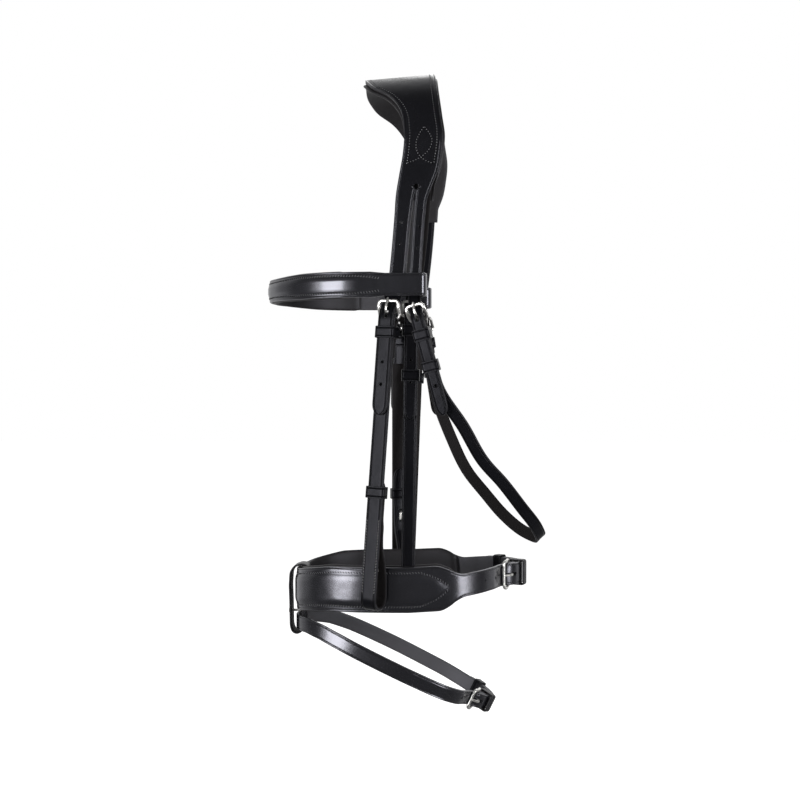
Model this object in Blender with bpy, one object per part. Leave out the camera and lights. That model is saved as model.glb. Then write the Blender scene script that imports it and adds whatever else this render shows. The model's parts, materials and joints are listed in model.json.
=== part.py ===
"""Horse show bridle, hung from its headpiece, with its nose towards -X and its near side towards -Y.

Every size below is in millimetres; mesh_object turns them into metres. The origin is the middle of the
seat under the headpiece. A strap is a row of sections: a centre line, the way across it, a width and a
thickness. One side is laid out as (x, out, z), where out is the distance from the bridle's middle plane.
"""
import math

import bmesh
import bpy
import numpy as np

for thing in list(bpy.data.objects):
    bpy.data.objects.remove(thing, do_unlink=True)

MM = 0.001
GAP = 0.3

# Headpiece
POLL_HALF_WIDTH = 64.0
POLL_RISE = 75.0
LEATHER = 3.0
LINING_THICKNESS = 4.4
LINING_OVERHANG = 2.0
FRONT_ROLL_END = 100.0
POLL_TILT = 0.09
SLIT_TOP = 146.0
LEG_END = 240.0
SEAT_LENGTH = 8.0

# Straps
CHEEK_WIDTH = 15.0
THROAT_WIDTH = 11.5
HANGER_WIDTH = 12.5
THIN_LEATHER = 2.2
SKIVED = 1.4
HOLE_SPACING = 20.0
HOLE_SIZE = 3.4
BILLET_LENGTH = 87.0

# Browband
BROWBAND_HEIGHT = 23.0
BROWBAND_LOOP_HEIGHT = 20.5
BROWBAND_LEATHER = 2.6
BROWBAND_LINING = 3.4
BROWBAND_RISE = 6.12

# Where the straps flex under the browband, below the ends of the headpiece's legs, and each buckle below that
FLEX_DROP = 4.48
CHEEK_DROP = 19.4
THROAT_DROP = 21.4
HANGER_DROP = 16.4

# Bit loop, measured down the cheekpiece
LOOP_DEPTH = 19.4
LOOP_BOTTOM = 258.0
HOOK_RISE = 72.0
TIP_RISE = 43.0
HOOK_AT = LOOP_BOTTOM - HOOK_RISE
INNER_TIP = HOOK_AT - TIP_RISE

# Noseband and flash
NOSEBAND_HEIGHT = 40.5
NOSEBAND_STRAP = 20.5
NOSEBAND_LEATHER = 3.2
NOSEBAND_LINING = 5.0
NOSE_DROP = 271.4
NOSE_FRONT_LESS = 2.0
NOSE_LINING_EDGE = 2.4
STUD_DROP = 1.95
FLASH_DROP = 9.1
FLASH_WIDTH = 14.0
FLASH_LEATHER = 2.8
FLASH_LOOP_WIDTH = 18.0

# Keepers
KEEPER_WALL = 1.4
KEEPER_LENGTH = 10.5

# Buckles
FRAME_BAR = 3.0
FRAME_SIDE = 0.7
FRAME_THICKNESS = 2.4

BLACK_LEATHER = ((0.012, 0.012, 0.014), 0.32, 0.0)
LINING_LEATHER = ((0.016, 0.014, 0.014), 0.55, 0.0)
STEEL = ((0.62, 0.61, 0.60), 0.22, 1.0)


def unit(v):
    """The same directions at length one."""
    v = np.asarray(v, float)
    return v / np.linalg.norm(v, axis=-1, keepdims=True)


def smooth(rows, count):
    """A cubic curve through the rows, spaced by the distance between their first three columns."""
    rows = np.asarray(rows, float)
    steps = np.linalg.norm(np.diff(rows[:, :3], axis=0), axis=1)
    knots = np.concatenate([[0.0], np.cumsum(steps)])
    slopes = np.gradient(rows, knots, axis=0)
    at = np.linspace(0.0, knots[-1], count)
    k = np.clip(np.searchsorted(knots, at, side="right") - 1, 0, len(knots) - 2)
    span = (knots[k + 1] - knots[k])[:, None]
    f = (at - knots[k])[:, None] / span
    return (
        (2 * f**3 - 3 * f**2 + 1) * rows[k]
        + (f**3 - 2 * f**2 + f) * span * slopes[k]
        + (3 * f**2 - 2 * f**3) * rows[k + 1]
        + (f**3 - f**2) * span * slopes[k + 1]
    )


def arc(radius, start, stop, steps):
    """Points (down, out) on an arc round a bar, from one angle to another, measured from out towards down."""
    turn = np.radians(np.linspace(start, stop, steps))
    return np.column_stack([radius * np.sin(turn), radius * np.cos(turn)])


def mirrored(points):
    """The same points on the other side of the bridle's middle plane."""
    return np.asarray(points, float) * np.array([1.0, -1.0, 1.0])


# Bodies: an empty on each joint's axis carries the pieces that move on it

BODIES = {}


def body(name, pivot, parent=None):
    """An empty at a joint's axis, under the empty of the body that carries it."""
    empty = bpy.data.objects.new("body_" + name, None)
    bpy.context.collection.objects.link(empty)
    base = np.zeros(3)
    if parent:
        empty.parent = BODIES[parent][0]
        base = BODIES[parent][1]
    empty.location = (np.asarray(pivot, float) - base) * MM
    BODIES[name] = (empty, np.asarray(pivot, float))


def mesh_object(name, points, faces, finish, carrier):
    """A closed mesh from points in millimetres, carried by a body, with its own material."""
    empty, pivot = BODIES[carrier]
    mesh = bpy.data.meshes.new(name)
    mesh.from_pydata([tuple(p) for p in (np.asarray(points, float) - pivot) * MM], [], faces)
    work = bmesh.new()
    work.from_mesh(mesh)
    bmesh.ops.recalc_face_normals(work, faces=work.faces)
    work.to_mesh(mesh)
    work.free()
    item = bpy.data.objects.new(name, mesh)
    item.parent = empty
    bpy.context.collection.objects.link(item)
    if finish:
        colour, roughness, metallic = finish
        material = bpy.data.materials.new(name)
        material.use_nodes = True
        shader = material.node_tree.nodes["Principled BSDF"]
        shader.inputs["Base Color"].default_value = (*colour, 1.0)
        shader.inputs["Roughness"].default_value = roughness
        shader.inputs["Metallic"].default_value = metallic
        mesh.materials.append(material)
        mesh.shade_smooth()
        mesh.set_sharp_from_angle(angle=math.radians(35))
    return item


def ring_faces(rings, corners, closed):
    """Quads between neighbouring rings of corners, with end caps where the row isn't closed."""
    faces = []
    for r in range(rings if closed else rings - 1):
        here, there = r * corners, (r + 1) % rings * corners
        for c in range(corners):
            d = (c + 1) % corners
            faces.append((here + c, here + d, there + d, there + c))
    if not closed:
        faces.append(tuple(range(corners)))
        faces.append(tuple(range((rings - 1) * corners, rings * corners)))
    return faces


def section(width, thickness, bevel, shape):
    """The corners (across, out) of a section: a plain strap, a strap with bevelled edges, or a bar."""
    a, b = width / 2, thickness / 2
    if shape == "plain":
        return np.array([(a, b), (a, -b), (-a, -b), (-a, b)])
    if shape == "bar":
        return np.array([(a * 0.5, b), (a, 0.0), (a * 0.5, -b), (-a * 0.5, -b), (-a, 0.0), (-a * 0.5, b)])
    c = min(bevel, a * 0.6, b * 0.7)
    return np.array(
        [(a - c, b), (a, b - c), (a, c - b), (a - c, -b), (c - a, -b), (-a, c - b), (-a, b - c), (c - a, b)]
    )


def band(
    name, centres, across, widths, thicks, finish, carrier, closed=False, bevel=0.8, shape="strap", square=True
):
    """A strap or bar along a centre line; square turns each section square to it."""
    centres = np.asarray(centres, float)
    if closed:
        along = np.roll(centres, -1, axis=0) - np.roll(centres, 1, axis=0)
    else:
        along = np.gradient(centres, axis=0)
    along = unit(along)
    across = np.broadcast_to(np.asarray(across, float), centres.shape)
    if square:
        across = unit(across - (across * along).sum(1)[:, None] * along)
    out = unit(np.cross(across, along))
    widths = np.broadcast_to(widths, len(centres))
    thicks = np.broadcast_to(thicks, len(centres))
    rings = []
    for centre, side, face, width, thick in zip(centres, across, out, widths, thicks):
        corners = section(width, thick, bevel, shape)
        rings.append(centre + np.outer(corners[:, 0], side) + np.outer(corners[:, 1], face))
    faces = ring_faces(len(centres), len(rings[0]), closed)
    return mesh_object(name, np.vstack(rings), faces, finish, carrier)


class Seat:
    """A place on a strap: where it is, and the ways down the strap, out of its face and across it."""

    def __init__(self, origin, down, out):
        self.origin = np.asarray(origin, float)
        self.down = unit(down)
        out = np.asarray(out, float)
        self.out = unit(out - out.dot(self.down) * self.down)
        self.across = np.cross(self.down, self.out)

    def at(self, down, out, across=0.0):
        """World points from distances down, out and across."""
        down, out, across = np.broadcast_arrays(down, out, across)
        return (
            self.origin
            + np.multiply.outer(down, self.down)
            + np.multiply.outer(out, self.out)
            + np.multiply.outer(across, self.across)
        )

    def other_side(self):
        """The same seat on the far side of the bridle."""
        twin = Seat(mirrored(self.origin), mirrored(self.down), mirrored(self.out))
        twin.across = mirrored(self.across)
        return twin


def side_seat(origin, down, turn, side):
    """A seat on one side, from (x, out, z) values, its face turned forwards by an angle in degrees."""
    x, out, z = origin
    turn = math.radians(turn)
    near = Seat(
        (x, -out, z),
        (down[0], -down[1], down[2]),
        (-math.sin(turn), -math.cos(turn), 0.0),
    )
    return near if side == "left" else near.other_side()


def cut(item, cutters, label="holes"):
    """Takes the cutters, each a list of points and faces, out of a piece."""
    points, faces = [], []
    for more_points, more_faces in cutters:
        faces += [tuple(i + len(points) for i in face) for face in more_faces]
        points += list(more_points)
    carrier = item.parent.name.removeprefix("body_")
    tool = mesh_object(f"{item.name}_{label}_cutter", np.array(points), faces, None, carrier)
    tool.hide_render = True
    tool.display_type = "WIRE"
    change = item.modifiers.new(label, "BOOLEAN")
    change.operation = "DIFFERENCE"
    change.solver = "EXACT"
    change.object = tool


def slot(seat, down, width, length, low, high, corners=8):
    """A cutter for a round or long hole through a strap, between two heights out of the seat."""
    turn = np.radians(np.arange(corners) * 360.0 / corners + 180.0 / corners)
    stretch = np.sign(np.cos(turn)) * (length - width) / 2
    along = down + stretch + width / 2 * np.cos(turn)
    side = width / 2 * np.sin(turn)
    points = np.vstack([seat.at(along, low, side), seat.at(along, high, side)])
    return points, ring_faces(2, corners, False)


def pointed(distance, width, length=11.0):
    """A strap's width near its end: full, then narrowing to a rounded point."""
    share = np.clip(np.asarray(distance, float) / length, 0.0, 1.0)
    return width * np.maximum(0.16, np.sqrt(1.0 - (1.0 - share) ** 2.4))


POINT_STEPS = np.array([11.0, 7.5, 4.6, 2.2, 0.7, 0.0])


# A buckled joint: the strap folds round the frame's bar, the billet passes under the frame's far side, over
# the fold and down the strap's face, and the tongue comes out of a hole in the billet


class Joint:
    """The heights in a buckled joint, all from the bar's centre, for one thickness of leather."""

    def __init__(self, strap_width, leather, frame_length, billet_leather=None):
        billet = billet_leather or leather
        self.strap_width = strap_width
        self.leather = leather
        self.billet = billet
        self.frame_length = frame_length
        self.bar_room = FRAME_BAR / 2 + 0.1 + GAP
        self.fold = self.bar_room + leather / 2
        self.back = self.fold - leather - GAP
        self.top = self.fold + leather / 2 + GAP + billet / 2
        self.far_bar = billet + 1.2
        self.under = self.far_bar - FRAME_THICKNESS / 2 - GAP - billet / 2
        self.inner_width = strap_width + 2 * FRAME_SIDE

    def fold_path(self, chape):
        """(down, out) of the strap's folded end, from under the strap, round the bar, to its face."""
        under = [
            (chape, self.back),
            (self.fold + 6.0, self.back),
            (self.fold + 2.4, self.back - 0.4),
        ]
        return np.vstack([under, arc(self.fold, 140.0, 360.0, 9)])

    def billet_path(self):
        """(down, out) of the billet from the frame's far side to just past the bar."""
        return np.array(
            [
                (-self.frame_length, self.under),
                (-self.frame_length * 0.62, self.under + 0.27 * (self.top - self.under)),
                (-self.frame_length * 0.31, self.under + 0.78 * (self.top - self.under)),
                (-0.2, self.top),
                (5.0, self.top),
            ]
        )

    def tongue_path(self):
        """(down, out) of the tongue: nearly round the bar, out through the billet, onto the frame."""
        radius = FRAME_BAR / 2 + 0.3 + 0.65
        rest = self.far_bar + FRAME_THICKNESS / 2 + GAP + 0.95
        length = self.frame_length
        lift = self.top + self.billet / 2
        return np.vstack(
            [
                arc(radius, 40.0, 300.0, 8),
                [
                    (-radius - 0.5, (radius + lift) * 0.38),
                    (-0.27 * length, lift - 1.2),
                    (-0.47 * length, lift + 0.35),
                    (-0.75 * length, lift - 0.2),
                    (-length, rest),
                    (-length - 3.2, rest - 0.7),
                ],
            ]
        )


def buckle(name, seat, joint, carrier):
    """A flat frame with rounded corners; its near side is the bar, its far side bows out over the billet."""
    half = joint.inner_width / 2 + FRAME_BAR / 2
    far = -joint.frame_length
    corner = 3.2
    turn = np.radians([0.0, 45.0, 90.0])
    quarter = np.column_stack([1 - np.cos(turn), np.sin(turn)]) * corner
    one_side = np.vstack(
        [
            [(0.0, 0.0), (0.0, half - 2.4), (-0.7, half - 0.7), (-2.4, half), (far / 2, half)],
            [(far + a, half - corner + b) for a, b in quarter[::-1]],
        ]
    )
    other = one_side[1:][::-1] * np.array([1.0, -1.0])
    outline = np.vstack([one_side, [(far, 0.0)], other])
    lift = joint.far_bar * np.clip(1.3 * outline[:, 0] / far, 0.0, 1.0)
    centres = seat.at(outline[:, 0], lift, outline[:, 1])
    across = np.cross(
        unit(np.roll(centres, -1, axis=0) - np.roll(centres, 1, axis=0)), seat.out
    )
    return band(
        name, centres, across, FRAME_BAR, FRAME_THICKNESS, STEEL, carrier, closed=True, shape="bar"
    )


def tongue(name, seat, joint, carrier):
    """A bar bent round the frame's bar at one end and tapered to a blunt point at the other."""
    path = joint.tongue_path()
    wide = np.full(len(path), 2.3)
    wide[-1] = 1.3
    thick = np.where(np.arange(len(path)) < 9, 1.3, 1.9)
    thick[-1] = 1.1
    return band(
        name, seat.at(path[:, 0], path[:, 1]), seat.across, wide, thick, STEEL, carrier, shape="bar"
    )


def tongue_slot(seat, joint):
    """The cutter for the slot in the fold, through which the tongue turns."""
    reach = joint.fold + joint.leather
    half = HOLE_SIZE / 2 + 0.1
    points = []
    for out in (-reach, joint.fold + joint.leather / 2 + 0.15):
        for down, across in ((-reach, -half), (-reach, half), (reach * 0.8, half), (reach * 0.8, -half)):
            points.append(seat.at(down, out, across))
    return np.array(points), ring_faces(2, 4, False)


def billet_hole(seat, joint):
    """The cutter for the long hole in the billet that the tongue stands in."""
    return slot(
        seat,
        -0.2 * joint.frame_length,
        HOLE_SIZE,
        7.4,
        joint.under,
        joint.top + joint.billet,
    )


def sleeve(name, seat, start, length, width, low, high, carrier):
    """A keeper: a flat band of leather round a stack of straps, its corners rounded."""
    turn = np.radians([15.0, 75.0])
    loops = []
    for grow in (0.0, KEEPER_WALL):
        radius = 0.8 + grow
        half = width / 2 + GAP + 0.2 + grow
        bottom, top = low - GAP - grow, high + GAP + grow
        corners = []
        for sign_a, sign_b, first in ((1, 1, 0), (-1, 1, 1), (-1, -1, 2), (1, -1, 3)):
            for angle in turn + first * math.pi / 2:
                centre_a = sign_a * (half - radius)
                centre_b = top - radius if sign_b > 0 else bottom + radius
                corners.append((centre_a + radius * math.cos(angle), centre_b + radius * math.sin(angle)))
        loops.append(np.array(corners))
    rings = [
        seat.at(down, loop[:, 1], loop[:, 0])
        for down, loop in (
            (start, loops[0]),
            (start, loops[1]),
            (start + length, loops[1]),
            (start + length, loops[0]),
        )
    ]
    faces = ring_faces(4, 8, True)
    return mesh_object(name, np.vstack(rings), faces, BLACK_LEATHER, carrier)


# The headpiece's arch: a quarter of an ellipse on each side, then straight down

TURNS = np.radians(np.linspace(0.0, 90.0, 91))
ARCH_OUT = np.concatenate([POLL_HALF_WIDTH * np.sin(TURNS), [POLL_HALF_WIDTH]])
ARCH_DROP = np.concatenate([POLL_RISE * (np.cos(TURNS) - 1.0), [-POLL_RISE - 200.0]])
ARCH_LENGTH = np.concatenate(
    [[0.0], np.cumsum(np.hypot(np.diff(ARCH_OUT), np.diff(ARCH_DROP)))]
)


def arch(reach, lift):
    """(y, z) and the way out, at a distance from the top of the arch, lifted off its curve."""
    reach = np.asarray(reach, float)
    away = np.abs(reach)
    y = np.interp(away, ARCH_LENGTH, ARCH_OUT)
    z = np.interp(away, ARCH_LENGTH, ARCH_DROP)
    ny = np.interp(away, ARCH_LENGTH, np.gradient(-ARCH_DROP, ARCH_LENGTH))
    nz = np.interp(away, ARCH_LENGTH, np.gradient(ARCH_OUT, ARCH_LENGTH))
    size = np.hypot(ny, nz)
    ny, nz = ny / size, nz / size
    side = np.where(reach < 0, -1.0, 1.0)
    return side * (y + lift * ny), z + lift * nz


SEAT_DROP = arch(SEAT_LENGTH / 2, -LINING_THICKNESS)[1]


def on_arch(reach, x, lift):
    """World points on the headpiece; over the poll its rear edge stands higher than its front."""
    reach, x, lift = np.broadcast_arrays(np.asarray(reach, float), x, lift)
    y, z = arch(reach, lift)
    fade = np.clip(1.0 - np.abs(reach) / 95.0, 0.0, 1.0) ** 1.3
    flat = np.abs(reach) <= SEAT_LENGTH / 2
    fade = np.where(flat, (1.0 - SEAT_LENGTH / 2 / 95.0) ** 1.3, fade)
    return np.stack([x, y, z - SEAT_DROP + POLL_TILT * fade * x], axis=-1)


LEG_BOTTOM = float(on_arch(LEG_END, 0.0, 0.0)[2])
BROWBAND_Z = LEG_BOTTOM + BROWBAND_RISE
FLEX_Z = LEG_BOTTOM - FLEX_DROP

CROWN_REACHES = np.concatenate([[SEAT_LENGTH / 2], np.linspace(14.0, SLIT_TOP, 13)])
LEG_REACHES = np.array([151.0, 158.0, 175.0, 195.0, 215.0, 232.0, LEG_END])

FRONT_EDGE = [(0, -32), (30, -30.5), (45, -23), (58, -9), (74, 2), (95, 6.4), (116, 5.4), (136, 2), (154, -0.9)]
FRONT_EDGE += [(171, -2.1), (222, -6.6), (LEG_END, -8.6)]
REAR_EDGE = [(0, 32), (30, 33.5), (50, 35), (80, 38.5), (100, 41), (118, 39.3), (132, 36.6), (146, 31.2)]
REAR_EDGE += [(158, 27), (171, 25.6), (222, 22.1), (LEG_END, 21.2)]
SLIT_FRONT = [(SLIT_TOP, 17.4), (154, 15.6), (171, 13.1), (222, 8.2), (LEG_END, 6.2)]
SLIT_REAR = [(SLIT_TOP, 17.4), (154, 16.5), (171, 14.9), (222, 11.3), (LEG_END, 9.7)]
HEADSTRAP_LINE = [(0, 2), (50, 7), (80, 15), (105, 22.5), (130, 25), (155, 24), (171, 22.9), (222, 17.5)]
HEADSTRAP_LINE += [(LEG_END, 15.0)]


def edge(table, reach):
    """An edge's x at a distance from the top, on a smooth curve through its points."""
    table = np.asarray(table, float)
    if table[0, 0] == 0:
        table = np.vstack([(-table[1, 0], table[1, 1]), table])
    slopes = np.gradient(table[:, 1], table[:, 0])
    away = np.abs(np.asarray(reach, float))
    k = np.clip(np.searchsorted(table[:, 0], away, side="right") - 1, 0, len(table) - 2)
    span = table[k + 1, 0] - table[k, 0]
    f = (away - table[k, 0]) / span
    return (
        (2 * f**3 - 3 * f**2 + 1) * table[k, 1]
        + (f**3 - 2 * f**2 + f) * span * slopes[k]
        + (3 * f**2 - 2 * f**3) * table[k + 1, 1]
        + (f**3 - f**2) * span * slopes[k + 1]
    )


def both_ways(values):
    """A list of distances from the top, and the same on the other side."""
    values = np.asarray(values, float)
    return np.concatenate([-values[::-1], values])


def headpiece():
    """The crown is one wide band; at the slits it splits into a front and a rear leg on each side."""
    reaches = both_ways(CROWN_REACHES)
    crown = []
    for s in reaches:
        front, rear = edge(FRONT_EDGE, s), edge(REAR_EDGE, s)
        middle = SLIT_FRONT[0][1] * abs(s) / SLIT_TOP
        x = np.array([front, middle, rear, rear, middle, front])
        crown.append(on_arch(s, x, np.array([LEATHER] * 3 + [0.0] * 3)))
    points = list(np.vstack(crown))
    faces = [f for f in ring_faces(len(reaches), 6, False) if len(f) == 4]
    for first_ring, side in ((0, -1.0), (len(reaches) - 1, 1.0)):
        base = first_ring * 6
        legs = (
            (FRONT_EDGE, SLIT_FRONT, [base, base + 1, base + 4, base + 5]),
            (SLIT_REAR, REAR_EDGE, [base + 1, base + 2, base + 3, base + 4]),
        )
        for front_table, rear_table, ring in legs:
            for s in LEG_REACHES:
                front, rear = edge(front_table, s), edge(rear_table, s)
                x = np.array([front, rear, rear, front])
                lift = np.array([LEATHER, LEATHER, 0.0, 0.0])
                start = len(points)
                points += list(on_arch(side * s, x, lift))
                new = [start, start + 1, start + 2, start + 3]
                for i in range(4):
                    j = (i + 1) % 4
                    faces.append((ring[i], ring[j], new[j], new[i]))
                ring = new
            faces.append(tuple(ring))
    item = mesh_object("headpiece", points, faces, BLACK_LEATHER, "headpiece")
    holes = []
    for side in ("left", "right"):
        for x, rise in ((17.2, 92.1), (4.1, 61.9), (2.3, 42.3), (20.3, 58.1), (18.8, 38.5)):
            seat = side_seat((x, POLL_HALF_WIDTH, LEG_BOTTOM + rise), (0.0, 0.0, -1.0), 0.0, side)
            holes.append(slot(seat, 0.0, HOLE_SIZE, HOLE_SIZE, -1.0, LEATHER + 1.0))
    cut(item, holes)


def headpiece_lining():
    """A padded lining with rolled edges and a channel in its upper face for the noseband's headstrap.

    Its front roll stands out of the headpiece only over the poll, its rear roll all the way down.
    """
    reaches = both_ways(np.concatenate([CROWN_REACHES, LEG_REACHES[:2]]))
    channel_half = HANGER_WIDTH / 2 + 1.0
    channel_depth = THIN_LEATHER + 2 * GAP + 0.1
    rings = []
    for s in reaches:
        front = edge(FRONT_EDGE, s) - LINING_OVERHANG * np.clip((FRONT_ROLL_END - abs(s)) / 30.0, 0.0, 1.0)
        strap = edge(HEADSTRAP_LINE, s)
        left, right = strap - channel_half, strap + channel_half
        rear = max(edge(REAR_EDGE, s) + LINING_OVERHANG, right + 1.8)
        middle = (front + rear) / 2
        pad = (rear - front) * 0.3
        deep = -LINING_THICKNESS
        section_points = [
            (front + 1.5, -GAP),
            (left, -GAP),
            (left, -channel_depth),
            (right, -channel_depth),
            (right, -GAP),
            (rear - 1.2, -GAP),
            (rear, -1.6),
            (rear - 1.5, -3.2),
            (middle + pad, deep),
            (middle - pad, deep),
            (front + 1.5, -3.4),
            (front, -1.8),
        ]
        x, lift = np.array(section_points).T
        rings.append(on_arch(s, x, lift))
    faces = ring_faces(len(reaches), 12, False)
    mesh_object("headpiece_lining", np.vstack(rings), faces, LINING_LEATHER, "headpiece")


def noseband_headstrap():
    """A thin strap over the poll, in the lining's channel, down inside the headpiece's legs."""
    reaches = both_ways(np.concatenate([CROWN_REACHES, LEG_REACHES]))
    lift = -GAP - THIN_LEATHER / 2
    line = edge(HEADSTRAP_LINE, reaches)
    centres = on_arch(reaches, line, lift)
    across = on_arch(reaches, line + 1.0, lift) - centres
    band(
        "noseband_headstrap",
        centres,
        across,
        HANGER_WIDTH,
        THIN_LEATHER,
        BLACK_LEATHER,
        "headpiece",
        shape="plain",
    )


# Side straps

LEG_OUT = POLL_HALF_WIDTH + LEATHER
LAP_OUT = LEG_OUT + GAP + SKIVED / 2

CHEEK = Joint(CHEEK_WIDTH, LEATHER, 15.0)
THROAT = Joint(THROAT_WIDTH, LEATHER, 13.5)
HANGER = Joint(HANGER_WIDTH, THIN_LEATHER, 12.5)

# How far out each bar hangs, and how far out the cheekpieces and hangers point at the noseband
HANGER_BAR_OUT = POLL_HALF_WIDTH - 4.6
CHEEK_BAR_OUT = LAP_OUT + 1.2
THROAT_BAR_OUT = LEG_OUT + 7.1
CHEEK_FOOT_OUT = 82.2
HANGER_FOOT_OUT = 52.5

CHEEK_TURN = 24.0
THROAT_TURN = 14.0
CHEEK_SWING = {"left": 0.0, "right": 3.5}
CHEEK_RUNNER_RISE = {"left": 36.0, "right": 22.0}
THROAT_LEAN = {"left": 0.267, "right": 0.155}
HANGER_LEAN = {"left": -3.6, "right": -8.6}


def seat_of(kind, side):
    """The seat of one of the three buckled joints on a side."""
    if kind == "cheek":
        swing = math.tan(math.radians(CHEEK_SWING[side]))
        down = (-15.6 + 238.0 * swing, CHEEK_FOOT_OUT - CHEEK_BAR_OUT, -238.0)
        return side_seat((-6.2 + CHEEK_DROP * swing, CHEEK_BAR_OUT, FLEX_Z - CHEEK_DROP), down, CHEEK_TURN, side)
    if kind == "throat":
        down = (THROAT_LEAN[side], -0.05, -0.964)
        return side_seat((20.6, THROAT_BAR_OUT, FLEX_Z - THROAT_DROP), down, THROAT_TURN, side)
    down = (HANGER_LEAN[side], HANGER_FOOT_OUT - HANGER_BAR_OUT, -233.0)
    return side_seat((13.0, HANGER_BAR_OUT, FLEX_Z - HANGER_DROP), down, 0.0, side)


def billet(name, seat, joint, flex_x, lap_out, side, carrier, length=BILLET_LENGTH):
    """A billet from its skived end under the browband, through the buckle, to its point."""
    hand = -1.0 if side == "left" else 1.0
    half = joint.strap_width / 2
    start = []
    for rise, share in ((half, 0.3), (half * 0.86, 0.62), (half * 0.45, 0.93), (0.0, 1.0)):
        start.append(((flex_x, hand * lap_out, FLEX_Z + rise), share))
    tip = np.column_stack([length - POINT_STEPS, np.full(len(POINT_STEPS), joint.top)])
    path = np.vstack([joint.billet_path(), [(length * 0.4, joint.top)], tip])
    centres = np.vstack([[p for p, _ in start], seat.at(path[:, 0], path[:, 1])])
    seat_across = seat.across if seat.across[0] > 0 else -seat.across
    across = np.vstack([[(1.0, 0.0, 0.0)] * len(start), [seat_across] * len(path)])
    widths = np.concatenate(
        [[joint.strap_width * s for _, s in start], pointed(length - path[:, 0], joint.strap_width)]
    )
    thicks = np.concatenate([[SKIVED] * 3, [SKIVED + 0.1], np.full(len(path), joint.billet)])
    thicks[4] = min(joint.billet, 2.2)
    item = band(name, centres, across, widths, thicks, BLACK_LEATHER, carrier)
    holes = [billet_hole(seat, joint)]
    for k in (2, 3):
        if k * HOLE_SPACING < length - 15.0:
            holes.append(
                slot(
                    seat,
                    k * HOLE_SPACING,
                    HOLE_SIZE,
                    HOLE_SIZE,
                    joint.top - joint.billet,
                    joint.top + joint.billet,
                )
            )
    cut(item, holes)


def buckled(kind, side, joint, carrier, keeper_at, runner_at, runner_low):
    """The metal and the keepers of one buckled joint."""
    seat = seat_of(kind, side)
    buckle(f"{kind}_buckle_{side}", seat, joint, carrier)
    tongue_body = f"{kind}_tongue_{side}"
    body(tongue_body, seat.origin, carrier)
    tongue(tongue_body, seat, joint, tongue_body)
    low = joint.back - joint.leather / 2 - 0.4
    high = joint.top + joint.billet / 2
    sleeve(
        f"{kind}_keeper_{side}", seat, keeper_at, KEEPER_LENGTH, joint.strap_width, low, high, carrier
    )
    runner_body = f"{kind}_runner_{side}"
    body(runner_body, seat.at(runner_at, 0.0), carrier)
    sleeve(
        runner_body,
        seat,
        runner_at,
        KEEPER_LENGTH,
        joint.strap_width,
        runner_low,
        high if kind != "cheek" else joint.fold + joint.leather / 2,
        runner_body,
    )
    return seat


def cheekpiece(side, carrier):
    """One strap: folded round the buckle's bar, down to the bit loop, and up behind to its point."""
    seat = seat_of("cheek", side)
    face, behind = CHEEK.fold, CHEEK.back
    bottom = LOOP_BOTTOM
    depth = LOOP_DEPTH
    turn_radius = depth / 2
    loop_centre = bottom - turn_radius
    around = np.radians(np.linspace(22.5, 180.0, 8))
    bend = np.column_stack(
        [
            loop_centre + turn_radius * np.sin(around),
            face - turn_radius + turn_radius * np.cos(around),
        ]
    )
    rows = smooth(
        np.array(
            [
                (bend[-1, 0], bend[-1, 1], 0.0),
                (loop_centre - 14.0, face - depth + 1.9, 0.0),
                (loop_centre - 30.0, face - depth * 0.66, 0.0),
                (loop_centre - 44.0, behind - 3.4, 0.0),
                (HOOK_AT + 10.0, behind - 2.0, 0.0),
                (HOOK_AT, behind - 1.8, 0.0),
            ]
        ),
        9,
    )
    tip = np.column_stack([INNER_TIP + POINT_STEPS, np.full(len(POINT_STEPS), behind)])
    path = np.vstack(
        [
            CHEEK.fold_path(36.0),
            [(60.0, face), (170.0, face), (175.0, face), (loop_centre, face)],
            bend,
            rows[1:, :2],
            [(HOOK_AT - 4.5, behind - 0.6), (HOOK_AT - 7.5, behind)],
            tip,
        ]
    )
    widths = np.full(len(path), CHEEK_WIDTH)
    widths[-len(tip) :] = pointed(POINT_STEPS, CHEEK_WIDTH)
    item = band(
        f"cheekpiece_{side}",
        seat.at(path[:, 0], path[:, 1]),
        seat.across,
        widths,
        LEATHER,
        BLACK_LEATHER,
        carrier,
    )
    cut(item, [tongue_slot(seat, CHEEK), slot(seat, HOOK_AT + 5.0, 3.4, 13.0, behind - 5.5, behind + 0.6)])


def hook_stud(side, carrier):
    """A steel stud: a plate against the cheekpiece, a stem through the inner strap's slot, a hooked end."""
    seat = seat_of("cheek", side)
    plate = CHEEK.fold - LEATHER / 2 - GAP - 0.6
    inside = CHEEK.back - 1.8 - LEATHER / 2
    path = [
        (HOOK_AT + 10.0, plate),
        (HOOK_AT + 3.0, plate),
        (HOOK_AT + 1.3, plate - 0.5),
        (HOOK_AT + 0.6, plate - 1.6),
        (HOOK_AT + 0.6, inside - 0.2),
        (HOOK_AT + 1.4, inside - 1.5),
        (HOOK_AT + 3.4, inside - 2.0),
        (HOOK_AT + 9.5, inside - 1.5),
    ]
    down, out = np.array(path).T
    band(
        f"hook_stud_{side}",
        seat.at(down, out),
        seat.across,
        2.4,
        1.1,
        STEEL,
        carrier,
        bevel=0.35,
    )


HANGER_END = 236.5


def hanger(side, carrier):
    """A straight strap, folded round its buckle's bar and sewn into the noseband at its lower end."""
    seat = seat_of("hanger", side)
    path = np.vstack([HANGER.fold_path(24.0), [(60.0, HANGER.fold), (150.0, HANGER.fold), (HANGER_END, HANGER.fold)]])
    item = band(
        f"hanger_{side}",
        seat.at(path[:, 0], path[:, 1]),
        seat.across,
        HANGER_WIDTH,
        THIN_LEATHER,
        BLACK_LEATHER,
        carrier,
        shape="plain",
    )
    cut(item, [tongue_slot(seat, HANGER)])


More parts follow.
